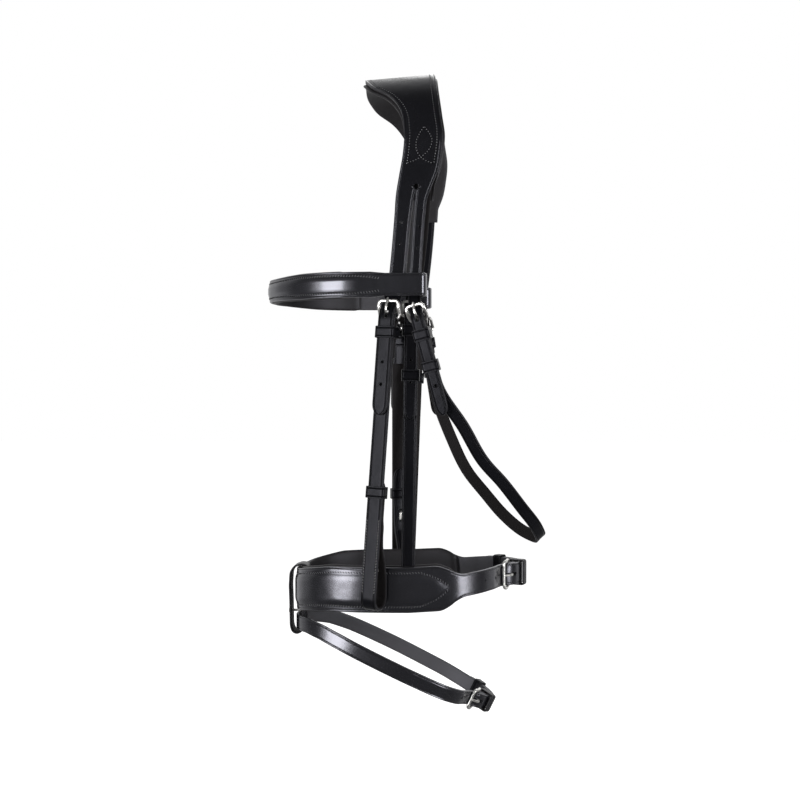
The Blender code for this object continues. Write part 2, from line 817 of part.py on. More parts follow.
# Where the throatlatch hangs free: (x, y, drop below the flex line) and the way across it, near side to far
THROAT_HANG = (
    (59.9, -66.0, 117.3, -0.90, 0.30, -0.32),
    (77.0, -58.0, 147.1, -0.86, 0.30, -0.40),
    (94.7, -47.0, 167.4, -0.82, 0.28, -0.48),
    (112.2, -33.0, 190.5, -0.78, 0.22, -0.56),
    (127.6, -15.0, 211.7, -0.73, 0.08, -0.66),
    (131.5, 1.0, 222.8, -0.70, 0.00, -0.70),
    (117.0, 17.0, 218.7, -0.68, -0.10, -0.70),
    (98.8, 33.0, 205.1, -0.74, -0.22, -0.60),
    (80.8, 47.0, 185.2, -0.82, -0.28, -0.48),
    (62.6, 58.0, 162.9, -0.88, -0.30, -0.38),
    (46.8, 66.0, 130.8, -0.92, -0.30, -0.32),
)


def throatlatch():
    """One strap in a U, folded round a buckle's bar at each end and hung back under the jaw."""
    ends = []
    for side in ("left", "right"):
        seat = seat_of("throat", side)
        local = np.vstack([THROAT.fold_path(24.0), [(30.0, THROAT.fold), (46.0, THROAT.fold), (58.0, THROAT.fold)]])
        ends.append(np.column_stack([seat.at(local[:, 0], local[:, 1]), [seat.across] * len(local)]))
    near, far = ends[0], ends[1][::-1]
    hang = np.array(THROAT_HANG)
    hang[:, 2] = FLEX_Z - hang[:, 2]
    free = smooth(np.vstack([near[-2:], hang, far[:2]]), 34)
    rows = np.vstack([near, free[2:-2], far])
    item = band("throatlatch", rows[:, :3], rows[:, 3:], THROAT_WIDTH, LEATHER, BLACK_LEATHER, "throatlatch")
    cut(item, [tongue_slot(seat_of("throat", side), THROAT) for side in ("left", "right")])


# Browband

LOOP_OUTER = LEG_OUT + GAP + SKIVED + 0.9
LOOP_INNER = POLL_HALF_WIDTH - GAP * 3 - THIN_LEATHER - SKIVED - 0.7


def browband():
    """One strap round the forehead, its ends folded inwards into loops round the headpiece's legs."""
    wall = BROWBAND_LEATHER / 2
    outer, inner = LOOP_OUTER + wall, LOOP_INNER - wall
    middle = (outer + inner) / 2
    fold = (outer - inner) / 2
    rear = 27.0 - fold * 0.55 - wall
    near = [(-21.0, outer - BROWBAND_LEATHER - GAP - 0.2), (-16.5, outer - BROWBAND_LEATHER - 1.8)]
    near += [(-11.8, inner + 2.2), (-8.0, inner + 0.2), (0.0, inner), (rear - 4.0, inner)]
    for angle in (25.0, 50.0, 70.0, 90.0, 110.0, 130.0, 155.0):
        near.append(
            (
                rear + 0.55 * fold * math.sin(math.radians(angle)),
                middle - fold * math.cos(math.radians(angle)),
            )
        )
    near += [(rear - 4.0, outer), (4.0, outer), (-10.0, outer), (-22.0, outer)]
    front = [(-22.0, outer), (-50.0, outer - 2.4), (-77.5, outer - 12.0), (-100.5, outer - 28.5)]
    front += [(-116.5, outer - 47.0), (-123.6, outer - 61.0), (-124.6, 0.0)]
    front = smooth([(x, out, 0.0) for x, out in front], 12)
    path = np.vstack([near, front[1:, :2]])
    x = np.concatenate([path[:, 0], path[-2::-1, 0]])
    y = np.concatenate([-path[:, 1], path[-2::-1, 1]])
    wide = np.where(x > -16.0, BROWBAND_LOOP_HEIGHT, BROWBAND_HEIGHT)
    wide = np.where(x < -100.0, BROWBAND_HEIGHT - 2.0, wide)
    wide[:2] = wide[-2:] = BROWBAND_LOOP_HEIGHT
    thick = np.full(len(x), BROWBAND_LEATHER)
    centres = np.column_stack([x, y, np.full(len(x), BROWBAND_Z)])
    band("browband", centres, (0.0, 0.0, 1.0), wide, thick, BLACK_LEATHER, "browband")
    lining = front[2:, :2]
    x = np.concatenate([lining[:, 0], lining[-2::-1, 0]])
    y = np.concatenate([-lining[:, 1], lining[-2::-1, 1]])
    line = np.column_stack([x, y, np.full(len(x), BROWBAND_Z)])
    along = unit(np.gradient(line, axis=0))
    inwards = np.cross(along, (0.0, 0.0, 1.0))
    inwards *= np.where((inwards[:, :2] * line[:, :2]).sum(1) > 0, -1.0, 1.0)[:, None]
    line = line + inwards * (BROWBAND_LEATHER / 2 + GAP + BROWBAND_LINING / 2)
    wide = np.where(line[:, 0] < -100.0, BROWBAND_HEIGHT, BROWBAND_HEIGHT + 1.6)
    band(
        "browband_lining",
        line,
        (0.0, 0.0, 1.0),
        wide,
        BROWBAND_LINING,
        LINING_LEATHER,
        "browband",
        bevel=1.4,
    )


# Rings: the noseband and the flash strap lie on closed curves, each with a short straight run at its buckle


class Ring:
    """A closed curve in plan with its height, measured from the buckle's bar along the far side."""

    def __init__(self, plan, heights, across_at):
        plan = np.asarray(plan, float)
        closed = np.vstack([plan[-2:], plan, plan[:2]])
        rows = smooth(np.column_stack([closed, np.zeros(len(closed))]), 800)
        start = np.argmin(np.linalg.norm(rows[:, :2] - plan[0], axis=1)[:200])
        stop = len(rows) - 200 + np.argmin(np.linalg.norm(rows[:, :2] - plan[0], axis=1)[-200:])
        self.plan = rows[start : stop + 1, :2]
        heights = np.asarray(heights, float)
        z = np.interp(self.plan[:, 0], heights[:, 0], heights[:, 1])
        self.points = np.column_stack([self.plan, z])
        steps = np.linalg.norm(np.diff(self.points, axis=0), axis=1)
        self.reach = np.concatenate([[0.0], np.cumsum(steps)])
        self.length = self.reach[-1]
        self.across_at = across_at

    def at(self, reach, out=0.0):
        """World points and the way across, at distances round the ring, moved out of its curve."""
        reach = np.asarray(reach, float)
        turn = np.mod(reach, self.length)
        point = np.column_stack([np.interp(turn, self.reach, self.points[:, i]) for i in range(3)])
        ahead = np.mod(reach + 1.0, self.length)
        back = np.mod(reach - 1.0, self.length)
        along = np.column_stack(
            [
                np.interp(ahead, self.reach, self.points[:, i]) - np.interp(back, self.reach, self.points[:, i])
                for i in range(3)
            ]
        )
        along = unit(along)
        across = self.across_at(point[:, 0])
        outwards = unit(np.cross(along, across))
        return point + outwards * np.asarray(out, float).reshape(-1, 1), across

    def stations(self, tail, joint, steps):
        """Distances round the ring, from past the strap's point to short of the buckle."""
        return np.linspace(tail + 8.0, self.length - joint.frame_length - 18.0, steps)

    def seat(self, reach, drop):
        """A seat at a distance round the ring, its origin moved in by the drop."""
        point, across = self.at([reach])
        before, _ = self.at([reach - 1.5])
        after, _ = self.at([reach + 1.5])
        down = unit(after[0] - before[0])
        out = np.cross(down, across[0])
        return Seat(point[0] - unit(out) * drop, down, out)


def ring_strap(name, ring, joint, tail, width_at, leather, carrier, steps):
    """A strap on a ring: folded round its bar, once round, over the bar and on outside to its point."""
    seat = ring.seat(0.0, joint.fold)
    fold = joint.fold_path(0.0)[2:]
    over_bar = joint.billet_path()[:-1]
    layer = joint.top - joint.fold
    lapped = np.concatenate([[4.0, 8.5, 13.0], np.arange(18.5, tail - POINT_STEPS[0] - 2.0, 6.0)])
    tip = tail - POINT_STEPS
    rest = ring.stations(tail, joint, steps)
    loose = ring.length - joint.frame_length - 7.0
    parts = [
        ring.at([13.0, 8.5], [joint.back - joint.fold] * 2),
        (seat.at(fold[:, 0], fold[:, 1]), np.tile(-seat.across, (len(fold), 1))),
        ring.at(np.concatenate([lapped, tip[:-2], [tail + 1.5], rest])),
        ring.at([loose], [0.9 * (joint.under - joint.fold)]),
        (seat.at(over_bar[:, 0], over_bar[:, 1]), np.tile(-seat.across, (len(over_bar), 1))),
        ring.at(np.concatenate([lapped, tip]), [layer] * (len(lapped) + len(tip))),
    ]
    centres = np.vstack([points for points, _ in parts])
    across = np.vstack([ways for _, ways in parts])
    widths = np.full(len(centres), joint.strap_width)
    first = 2 + len(fold)
    last = first + len(parts[2][0])
    widths[first:last] = width_at(parts[2][0][:, 0])
    widths[-len(tip) :] = pointed(POINT_STEPS, joint.strap_width)
    item = band(name, centres, across, widths, leather, BLACK_LEATHER, carrier, square=False)
    cut(item, [tongue_slot(seat, joint)], "slot")
    holes = [billet_hole(seat, joint)]
    for k in (1, 2):
        spot = ring.seat(ring.length - joint.frame_length - k * HOLE_SPACING * 0.8, 0.0)
        holes.append(slot(spot, 0.0, HOLE_SIZE, HOLE_SIZE, -leather - 2.0, leather))
    cut(item, holes)


def ring_buckle(prefix, ring, joint, carrier, keeper_at, runner_at):
    """The metal and the keepers on a ring strap's buckle."""
    seat = ring.seat(0.0, joint.fold)
    buckle(f"{prefix}_buckle", seat, joint, carrier)
    tongue_body = f"{prefix}_tongue"
    body(tongue_body, seat.origin, carrier)
    tongue(tongue_body, seat, joint, tongue_body)
    high = joint.top + joint.billet / 2
    spot = ring.seat(keeper_at, joint.fold)
    low = joint.back - joint.leather / 2
    sleeve(f"{prefix}_keeper", spot, -3.8, 7.6, joint.strap_width, low - 1.6, high + 1.3, carrier)
    spot = ring.seat(runner_at, joint.fold)
    low = joint.fold - joint.leather / 2
    sleeve(f"{prefix}_runner", spot, -4.0, 8.0, joint.strap_width, low - 0.9, high + 0.6, carrier)


NOSE_PLAN = [(105.0, -1.0), (109.4, 5.6), (111.6, 12.0), (109.4, 20.5), (101.0, 32.0), (86.0, 43.5), (61.0, 53.0)]
NOSE_PLAN += [(25.0, 59.0), (-15.0, 59.3), (-50.0, 54.5), (-79.0, 39.0), (-93.5, 21.0), (-98.2, 0.0)]
NOSE_PLAN += [(-93.5, -21.0), (-79.0, -39.0), (-50.0, -54.5), (-15.0, -59.3), (25.0, -59.0), (56.0, -54.5)]
NOSE_PLAN += [(75.0, -43.0), (87.0, -29.0), (94.0, -17.6), (98.8, -10.3)]
NOSE_Z = FLEX_Z - NOSE_DROP
NOSE_RISES = [(-98.2, 0.0), (-85.0, 3.5), (-60.0, 7.2), (10.0, 8.0), (34.0, 9.4), (60.0, 11.7), (85.0, 14.5)]
NOSE_HEIGHTS = [(x, NOSE_Z + rise) for x, rise in NOSE_RISES + [(105.0, 15.0)]]
STUD_Z = NOSE_Z - (NOSEBAND_HEIGHT - NOSE_FRONT_LESS + NOSE_LINING_EDGE) / 2 - STUD_DROP

FLASH_PLAN = [(73.6, -4.8), (79.6, 4.1), (82.0, 11.5), (79.6, 20.5), (71.0, 31.0), (52.0, 41.0), (15.0, 48.0)]
FLASH_PLAN += [(-20.0, 49.5), (-54.0, 44.5), (-81.0, 31.0), (-94.6, 15.5), (-99.2, 0.0), (-94.6, -15.5)]
FLASH_PLAN += [(-81.0, -31.0), (-54.0, -44.5), (-20.0, -49.5), (15.0, -48.5), (44.0, -41.5), (57.0, -29.5)]
FLASH_PLAN += [(63.3, -20.1), (68.5, -12.4)]
FLASH_Z = STUD_Z - FLASH_DROP
FLASH_DROPS = [(-99.2, 0.0), (-86.0, 0.3), (-72.0, 4.0), (-53.0, 12.0), (-7.0, 33.5), (38.0, 55.0), (90.0, 81.0)]
FLASH_HEIGHTS = [(x, FLASH_Z - drop) for x, drop in FLASH_DROPS]
FLASH_FRONT = FLASH_PLAN[11][0]
FLASH_LEAN = 26.0
NOSE_TAIL = 70.0
NOSE_STEPS = 28

NOSE_JOINT = Joint(NOSEBAND_STRAP, NOSEBAND_LEATHER, 15.0)
FLASH_JOINT = Joint(FLASH_WIDTH, FLASH_LEATHER, 14.0)


def upright(x):
    """The noseband stands upright all round."""
    return np.tile([0.0, 0.0, 1.0], (len(x), 1))


def leaning(x):
    """The flash strap is upright in its loop and leans back along the sides."""
    share = np.clip((np.asarray(x, float) + 95.0) / 40.0, 0.0, 1.0)
    lean = np.radians(FLASH_LEAN) * share
    return np.column_stack([np.sin(lean), np.zeros(len(lean)), np.cos(lean)])


NOSE_RING = Ring(NOSE_PLAN, NOSE_HEIGHTS, upright)
FLASH_RING = Ring(FLASH_PLAN, FLASH_HEIGHTS, leaning)


def nose_width(x):
    """The noseband's height: wide round the nose and narrow behind, with a short swell between."""
    share = np.clip((62.0 - np.asarray(x, float)) / 27.0, 0.0, 1.0)
    share = share * share * (3.0 - 2.0 * share)
    front = np.clip((-60.0 - np.asarray(x, float)) / 40.0, 0.0, 1.0)
    return NOSEBAND_STRAP + (NOSEBAND_HEIGHT - NOSEBAND_STRAP) * share - NOSE_FRONT_LESS * front


def noseband():
    """The noseband's leather, its padded lining with a pocket for each hanger, and its buckle."""
    ring_strap("noseband", NOSE_RING, NOSE_JOINT, NOSE_TAIL, nose_width, NOSEBAND_LEATHER, "noseband", NOSE_STEPS)
    ring_buckle("noseband", NOSE_RING, NOSE_JOINT, "noseband", 11.0, 48.0)
    inset = NOSEBAND_LEATHER / 2 + GAP + NOSEBAND_LINING / 2
    stations = NOSE_RING.stations(NOSE_TAIL, NOSE_JOINT, NOSE_STEPS)
    stations = stations[NOSE_RING.at(stations)[0][:, 0] < 54.0]
    line, across = NOSE_RING.at(stations, np.full(len(stations), -inset))
    width = nose_width(line[:, 0]) + NOSE_LINING_EDGE
    width[0] = width[-1] = width[0] * 0.8
    item = band(
        "noseband_lining",
        line,
        across,
        width,
        NOSEBAND_LINING,
        LINING_LEATHER,
        "noseband",
        bevel=2.0,
        square=False,
    )
    pockets = []
    for side in ("left", "right"):
        seat = seat_of("hanger", side)
        high = HANGER.fold + THIN_LEATHER / 2 + 2.6
        low = HANGER.fold - THIN_LEATHER / 2 - GAP
        half = HANGER_WIDTH / 2 + GAP
        points = [
            seat.at(down, out, across)
            for out in (low, high)
            for down, across in ((200.0, -half), (200.0, half), (HANGER_END + GAP, half), (HANGER_END + GAP, -half))
        ]
        pockets.append((np.array(points), ring_faces(2, 4, False)))
    cut(item, pockets)


def flash():
    """The loop on the noseband's front, its stud, and the flash strap that hangs in it."""
    top = NOSE_Z + NOSEBAND_HEIGHT / 2
    foot = FLASH_Z - FLASH_WIDTH / 2
    outline = [(3.5, top + 2.35), (-2.5, top + 0.15), (-6.1, top - 5.25), (-6.9, NOSE_Z + 2.0)]
    outline += [(-6.3, NOSE_Z - 13.0), (-6.1, STUD_Z - 3.6), (-5.9, foot + 2.5), (-4.2, foot - 3.1)]
    outline += [(0.0, foot - 4.9), (4.2, foot - 3.1), (6.8, foot + 2.5), (7.1, STUD_Z - 3.6)]
    outline += [(7.6, STUD_Z + 0.8), (11.5, STUD_Z + 4.8), (12.1, NOSE_Z - 8.0), (12.1, NOSE_Z + 11.0)]
    outline += [(11.5, top - 2.05), (8.9, top + 1.55)]
    x, z = np.array(outline).T
    x = x + FLASH_FRONT
    centres = np.column_stack([x, np.zeros(len(x)), z])
    item = band(
        "flash_loop", centres, (0.0, 1.0, 0.0), FLASH_LOOP_WIDTH, 1.8, BLACK_LEATHER, "noseband", closed=True
    )
    seat = Seat((FLASH_FRONT, 0.0, STUD_Z), (0.0, 0.0, -1.0), (-1.0, 0.0, 0.0))
    cut(item, [slot(seat, 0.0, 3.0, 3.0, -9.0, 9.0)])
    turn = np.radians(np.arange(10) * 36.0)
    rings = []
    for out, radius in ((-8.3, 1.2), (7.5, 1.2), (7.5, 2.9), (8.3, 2.7), (8.8, 1.6)):
        rings.append(seat.at(radius * np.cos(turn), out, radius * np.sin(turn)))
    mesh_object("flash_stud", np.vstack(rings), ring_faces(len(rings), 10, False), STEEL, "noseband")
    body("flash_strap", (FLASH_FRONT, 0.0, FLASH_Z), "noseband")
    ring_strap(
        "flash_strap",
        FLASH_RING,
        FLASH_JOINT,
        60.0,
        lambda x: np.full(len(x), FLASH_WIDTH),
        FLASH_LEATHER,
        "flash_strap",
        22,
    )
    ring_buckle("flash", FLASH_RING, FLASH_JOINT, "flash_strap", 10.5, 42.0)


# The whole bridle

CHEEK_FLEX_X = -2.4
THROAT_FLEX_X = 15.8
HANGER_FLEX_X = 14.6

body("headpiece", (0.0, 0.0, 0.0))
body("browband", (0.0, 0.0, BROWBAND_Z), "headpiece")
body("throatlatch", (THROAT_FLEX_X, 0.0, FLEX_Z), "headpiece")
body("noseband", (HANGER_FLEX_X, 0.0, FLEX_Z), "headpiece")

headpiece()
headpiece_lining()
noseband_headstrap()
browband()

for side in ("left", "right"):
    hand = -1.0 if side == "left" else 1.0
    cheek_body = f"cheekpiece_{side}"
    body(cheek_body, (CHEEK_FLEX_X, hand * LAP_OUT, FLEX_Z), "headpiece")
    billet(f"cheek_billet_{side}", seat_of("cheek", side), CHEEK, CHEEK_FLEX_X, LAP_OUT, side, cheek_body)
    cheekpiece(side, cheek_body)
    hook_stud(side, cheek_body)
    buckled(
        "cheek",
        side,
        CHEEK,
        cheek_body,
        8.0,
        HOOK_AT - CHEEK_RUNNER_RISE[side],
        CHEEK.back - LEATHER / 2,
    )
    billet(
        f"throat_billet_{side}", seat_of("throat", side), THROAT, THROAT_FLEX_X, LAP_OUT, side, "throatlatch"
    )
    buckled("throat", side, THROAT, "throatlatch", 8.0, 37.0, THROAT.fold - LEATHER / 2)
    lap_in = POLL_HALF_WIDTH - 3 * GAP - THIN_LEATHER - SKIVED / 2
    billet(
        f"hanger_billet_{side}",
        seat_of("hanger", side),
        HANGER,
        HANGER_FLEX_X,
        lap_in,
        side,
        "noseband",
        94.0,
    )
    hanger(side, "noseband")
    buckled("hanger", side, HANGER, "noseband", 8.0, 48.5, HANGER.fold - THIN_LEATHER / 2)

throatlatch()
noseband()
flash()
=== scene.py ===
"""The looks of a horse show bridle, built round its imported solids.

Lengths are in millimetres until solid() puts them into a mesh.
"""

import json
import math

import bmesh
import bpy
import numpy as np
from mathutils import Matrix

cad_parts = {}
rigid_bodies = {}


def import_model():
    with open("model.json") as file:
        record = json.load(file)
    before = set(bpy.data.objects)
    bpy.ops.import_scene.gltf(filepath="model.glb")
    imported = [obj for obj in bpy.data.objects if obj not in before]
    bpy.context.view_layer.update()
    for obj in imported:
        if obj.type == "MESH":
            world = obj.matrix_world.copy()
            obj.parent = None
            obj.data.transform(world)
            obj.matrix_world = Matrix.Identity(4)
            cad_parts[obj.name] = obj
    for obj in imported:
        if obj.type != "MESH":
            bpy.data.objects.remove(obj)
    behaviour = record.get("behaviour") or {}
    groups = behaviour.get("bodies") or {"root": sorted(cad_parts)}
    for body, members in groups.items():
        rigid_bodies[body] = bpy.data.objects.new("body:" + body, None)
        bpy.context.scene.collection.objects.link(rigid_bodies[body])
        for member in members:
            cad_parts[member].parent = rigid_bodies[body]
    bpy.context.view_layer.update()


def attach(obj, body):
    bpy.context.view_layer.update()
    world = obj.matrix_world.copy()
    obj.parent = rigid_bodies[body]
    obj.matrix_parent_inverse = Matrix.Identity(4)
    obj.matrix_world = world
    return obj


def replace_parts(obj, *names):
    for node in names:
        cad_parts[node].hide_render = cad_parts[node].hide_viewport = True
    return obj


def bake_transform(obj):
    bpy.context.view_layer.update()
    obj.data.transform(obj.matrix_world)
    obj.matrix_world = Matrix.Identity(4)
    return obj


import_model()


# Headpiece: one wide crown of black bridle leather over the poll. It is cut from one hide and split at each
# side into a front leg for the cheekpiece and a rear leg for the throatlatch. Its edges are creased, and a
# row of thread follows them and crosses in a leaf on each side.

MM = 0.001
POLL_HALF_WIDTH = 64.0
POLL_RISE = 75.0
POLL_TILT = 0.09
SEAT_LENGTH = 8.0
LEATHER = 3.0
LINING_THICKNESS = 4.4
SLIT_TOP = 146.0
LEG_END = 240.0
HOLE_SIZE = 3.4
FRONT_EDGE = [(0, -32), (30, -30.5), (45, -23), (58, -9), (74, 2), (95, 6.4), (116, 5.4), (136, 2)]
FRONT_EDGE += [(154, -0.9), (171, -2.1), (222, -6.6), (LEG_END, -8.6)]
REAR_EDGE = [(0, 32), (30, 33.5), (50, 35), (80, 38.5), (100, 41), (118, 39.3), (132, 36.6), (146, 31.2)]
REAR_EDGE += [(158, 27), (171, 25.6), (222, 22.1), (LEG_END, 21.2)]
SLIT_FRONT = [(SLIT_TOP, 17.4), (154, 15.6), (171, 13.1), (222, 8.2), (LEG_END, 6.2)]
SLIT_REAR = [(SLIT_TOP, 17.4), (154, 16.5), (171, 14.9), (222, 11.3), (LEG_END, 9.7)]


def unit(v):
    """The same directions at length one."""
    v = np.asarray(v, float)
    return v / np.linalg.norm(v, axis=-1, keepdims=True)


def mirrored(points):
    """The same points on the other side of the bridle's middle plane."""
    return np.asarray(points, float) * np.array([1.0, -1.0, 1.0])


def ramp(x, start, stop):
    """A share that is 0 up to the start, 1 past the stop and even between."""
    return np.clip((x - start) / (stop - start), 0.0, 1.0)


def eased(share):
    """A share from 0 to 1 that starts and stops gently."""
    return share * share * (3.0 - 2.0 * share)


def math_node(tree, kind, *values):
    """A sum on numbers or sockets, by its kind."""
    node = tree.nodes.new("ShaderNodeMath")
    node.operation = kind
    for place, value in enumerate(values):
        if isinstance(value, (int, float)):
            node.inputs[place].default_value = value
        else:
            tree.links.new(value, node.inputs[place])
    return node.outputs[0]


def coordinates(tree, kind="Object"):
    """The object's own coordinates, or another kind of them."""
    return tree.nodes.new("ShaderNodeTexCoord").outputs[kind]


def noise_node(tree, scale, detail=2.0):
    """Soft noise on the object's own coordinates, from 0 to 1."""
    node = tree.nodes.new("ShaderNodeTexNoise")
    node.inputs["Scale"].default_value = scale
    node.inputs["Detail"].default_value = detail
    tree.links.new(coordinates(tree), node.inputs["Vector"])
    return node.outputs["Fac"]


def colour_node(tree, share, first, second):
    """One colour turning into another by a share from 0 to 1."""
    node = tree.nodes.new("ShaderNodeMix")
    node.data_type = "RGBA"
    tree.links.new(share, node.inputs["Factor"])
    for label, colour in (("A", first), ("B", second)):
        socket = [s for s in node.inputs if s.name == label and s.type == "RGBA"][0]
        if isinstance(colour, tuple):
            socket.default_value = (*colour, 1.0)
        else:
            tree.links.new(colour, socket)
    return [s for s in node.outputs if s.type == "RGBA"][0]


def bumped(tree, shader, height):
    """Tilts the shader's normal by a height in metres."""
    bump = tree.nodes.new("ShaderNodeBump")
    bump.inputs["Distance"].default_value = 1.0
    tree.links.new(height, bump.inputs["Height"])
    tree.links.new(bump.outputs["Normal"], shader.inputs["Normal"])


GROOVE_WIDTH = 0.55
GROOVE_DEPTH = 0.42
WAVE_HEIGHT = 0.5
FUZZ_HEIGHT = 0.12
WEAR_AND_SHEEN_FADE = 1.8


def leather_surface():
    """Height, groove, wear and mottle of leather, from the distance to its edge and the flesh side's share.

    Height is broad waves and fine grain, less a groove exp(-((rim - crease) / width)^2) beside each edge.
    The groove's share also goes out, to be painted in as shade.
    The wear is exp(-fade rim), broken up by noise: worn edges, with a painted highlight along them too.
    """
    tree = bpy.data.node_groups.new("leather_surface", "ShaderNodeTree")
    for label in ("Rim", "Crease", "Flesh", "Grain"):
        tree.interface.new_socket(label, in_out="INPUT", socket_type="NodeSocketFloat")
    for label in ("Height", "GrooveShade", "WearAndSheen", "Mottle"):
        tree.interface.new_socket(label, in_out="OUTPUT", socket_type="NodeSocketFloat")
    given = tree.nodes.new("NodeGroupInput").outputs
    made = tree.nodes.new("NodeGroupOutput").inputs
    off = math_node(tree, "SUBTRACT", given["Rim"], given["Crease"])
    off = math_node(tree, "POWER", math_node(tree, "DIVIDE", off, GROOVE_WIDTH * MM), 2.0)
    groove = math_node(tree, "EXPONENT", math_node(tree, "MULTIPLY", off, -1.0))
    groove = math_node(tree, "MULTIPLY", groove, math_node(tree, "SUBTRACT", 1.0, given["Flesh"]))
    cells = tree.nodes.new("ShaderNodeTexVoronoi")
    cells.inputs["Scale"].default_value = 1300.0
    tree.links.new(coordinates(tree), cells.inputs["Vector"])
    waves = math_node(tree, "MULTIPLY", noise_node(tree, 38.0), WAVE_HEIGHT * MM)
    grain = math_node(tree, "MULTIPLY", cells.outputs["Distance"], given["Grain"])
    fuzz = math_node(tree, "MULTIPLY", noise_node(tree, 1700.0, 3.0), given["Flesh"])
    height = math_node(tree, "ADD", math_node(tree, "MULTIPLY", groove, -GROOVE_DEPTH * MM), waves)
    height = math_node(tree, "ADD", height, grain)
    height = math_node(tree, "ADD", height, math_node(tree, "MULTIPLY", fuzz, FUZZ_HEIGHT * MM))
    # the lighter edge band: real wear, and a painted highlight where a rounded edge would catch the light
    near_edge = math_node(tree, "EXPONENT", math_node(tree, "MULTIPLY", given["Rim"], -WEAR_AND_SHEEN_FADE / MM))
    worn_and_lit = math_node(tree, "SMOOTH_MIN", noise_node(tree, 140.0, 3.0), 1.0, 0.1)
    tree.links.new(height, made["Height"])
    # the groove's share goes out for painted shade in the crease
    tree.links.new(groove, made["GrooveShade"])
    tree.links.new(math_node(tree, "MULTIPLY", near_edge, worn_and_lit), made["WearAndSheen"])
    tree.links.new(noise_node(tree, 26.0, 4.0), made["Mottle"])
    return tree


LEATHER_SURFACE = leather_surface()


def shaded(name, roughness=0.5, metallic=0.0, specular=0.5, tint=(1.0, 1.0, 1.0)):
    """A new material, its node tree and its shader, with the values that are the same all over."""
    material = bpy.data.materials.new(name)
    material.use_nodes = True
    tree = material.node_tree
    shader = tree.nodes["Principled BSDF"]
    shader.inputs["Roughness"].default_value = roughness
    shader.inputs["Metallic"].default_value = metallic
    shader.inputs["Specular IOR Level"].default_value = specular
    shader.inputs["Specular Tint"].default_value = (*tint, 1.0)
    return material, tree, shader


def leather(name, dark, light, flesh, gloss, grain, specular, crease=1.7):
    """Dyed leather: a mottled, polished face with a groove beside its worn edges, and a dull flesh side.
    The groove is darkened with painted shade and the edges carry a painted highlight.
    """
    material, tree, shader = shaded(name, specular=specular, tint=(0.9, 0.9, 1.0))
    surface = tree.nodes.new("ShaderNodeGroup")
    surface.node_tree = LEATHER_SURFACE
    for label, field in (("Rim", "rim"), ("Flesh", "flesh")):
        read = tree.nodes.new("ShaderNodeAttribute")
        read.attribute_name = field
        tree.links.new(read.outputs["Fac"], surface.inputs[label])
    surface.inputs["Crease"].default_value = crease * MM
    surface.inputs["Grain"].default_value = grain * MM
    back = surface.inputs["Flesh"].links[0].from_socket
    colour = colour_node(tree, surface.outputs["Mottle"], dark, light)
    # painted highlight: the edge band is lightened, for wear and for the light that a rounded edge catches
    colour = colour_node(tree, surface.outputs["WearAndSheen"], colour, tuple(c * 3.0 + 0.024 for c in light))
    # painted shade: the crease groove is darkened in colour, as if shade fell in it
    colour = colour_node(tree, surface.outputs["GrooveShade"], colour, tuple(c * 0.35 for c in dark))
    colour = colour_node(tree, back, colour, flesh)
    tree.links.new(colour, shader.inputs["Base Color"])
    rough = math_node(tree, "MULTIPLY_ADD", surface.outputs["Mottle"], 0.12, gloss - 0.06)
    rough = math_node(tree, "MULTIPLY_ADD", back, 0.36, rough)
    tree.links.new(rough, shader.inputs["Roughness"])
    bumped(tree, shader, surface.outputs["Height"])
    return material


BRIDLE_COLOURS = ((0.0020, 0.0020, 0.0026), (0.0048, 0.0049, 0.0062), (0.0075, 0.0066, 0.0064))
BRIDLE = leather("bridle_leather", *BRIDLE_COLOURS, 0.27, 0.02, 0.3)
STRAP = leather("strap_leather", *BRIDLE_COLOURS, 0.30, 0.02, 0.1)
BAND = leather("band_leather", *BRIDLE_COLOURS, 0.24, 0.012, 1.0)


def thread(name, colour):
    """Waxed thread: fine slanted plies that catch the light."""
    material, tree, shader = shaded(name, roughness=0.38, specular=0.6)
    plies = noise_node(tree, 900.0, 1.0)
    light = tuple(c * 1.9 for c in colour)
    tree.links.new(colour_node(tree, plies, colour, light), shader.inputs["Base Color"])
    bumped(tree, shader, math_node(tree, "MULTIPLY", plies, 0.1 * MM))
    return material


THREAD = thread("waxed_thread", (0.036, 0.036, 0.039))


def painted_hole(name, dark, light):
    """The shadow in a needle hole: nearly black, mottled and dull."""
    material, tree, shader = shaded(name, roughness=0.9, specular=0.04)
    tree.links.new(colour_node(tree, noise_node(tree, 600.0), dark, light), shader.inputs["Base Color"])
    return material


# painted shade: a near-black material for the shadow in each needle hole
NEEDLE_HOLE_SHADE = painted_hole("needle_hole_shade", (0.0005, 0.0005, 0.0005), (0.0015, 0.0015, 0.0015))


def solid(name, points, faces, finish, side="left", sharp=40.0, **fields):
    """A closed mesh from points in millimetres, faces outwards; fields are values that its material reads."""
    mesh = bpy.data.meshes.new(name)
    points = np.asarray(points, float)
    if side == "right":
        points = mirrored(points)
    mesh.from_pydata((points * MM).tolist(), [], faces)
    for label, values in fields.items():
        field = mesh.attributes.new(label, "FLOAT", "POINT")
        field.data.foreach_set("value", np.asarray(values, np.float32).ravel())
    work = bmesh.new()
    work.from_mesh(mesh)
    bmesh.ops.recalc_face_normals(work, faces=work.faces)
    work.to_mesh(mesh)
    work.free()
    mesh.materials.append(finish)
    mesh.shade_smooth()
    mesh.set_sharp_from_angle(angle=math.radians(sharp))
    piece = bpy.data.objects.new(name, mesh)
    bpy.context.scene.collection.objects.link(piece)
    return piece


def finished(piece):
    """The piece with its modifiers worked into its mesh."""
    graph = bpy.context.evaluated_depsgraph_get()
    worked = piece.evaluated_get(graph)
    mesh = bpy.data.meshes.new_from_object(worked, preserve_all_data_layers=True, depsgraph=graph)
    piece.modifiers.clear()
    piece.data = mesh
    return piece


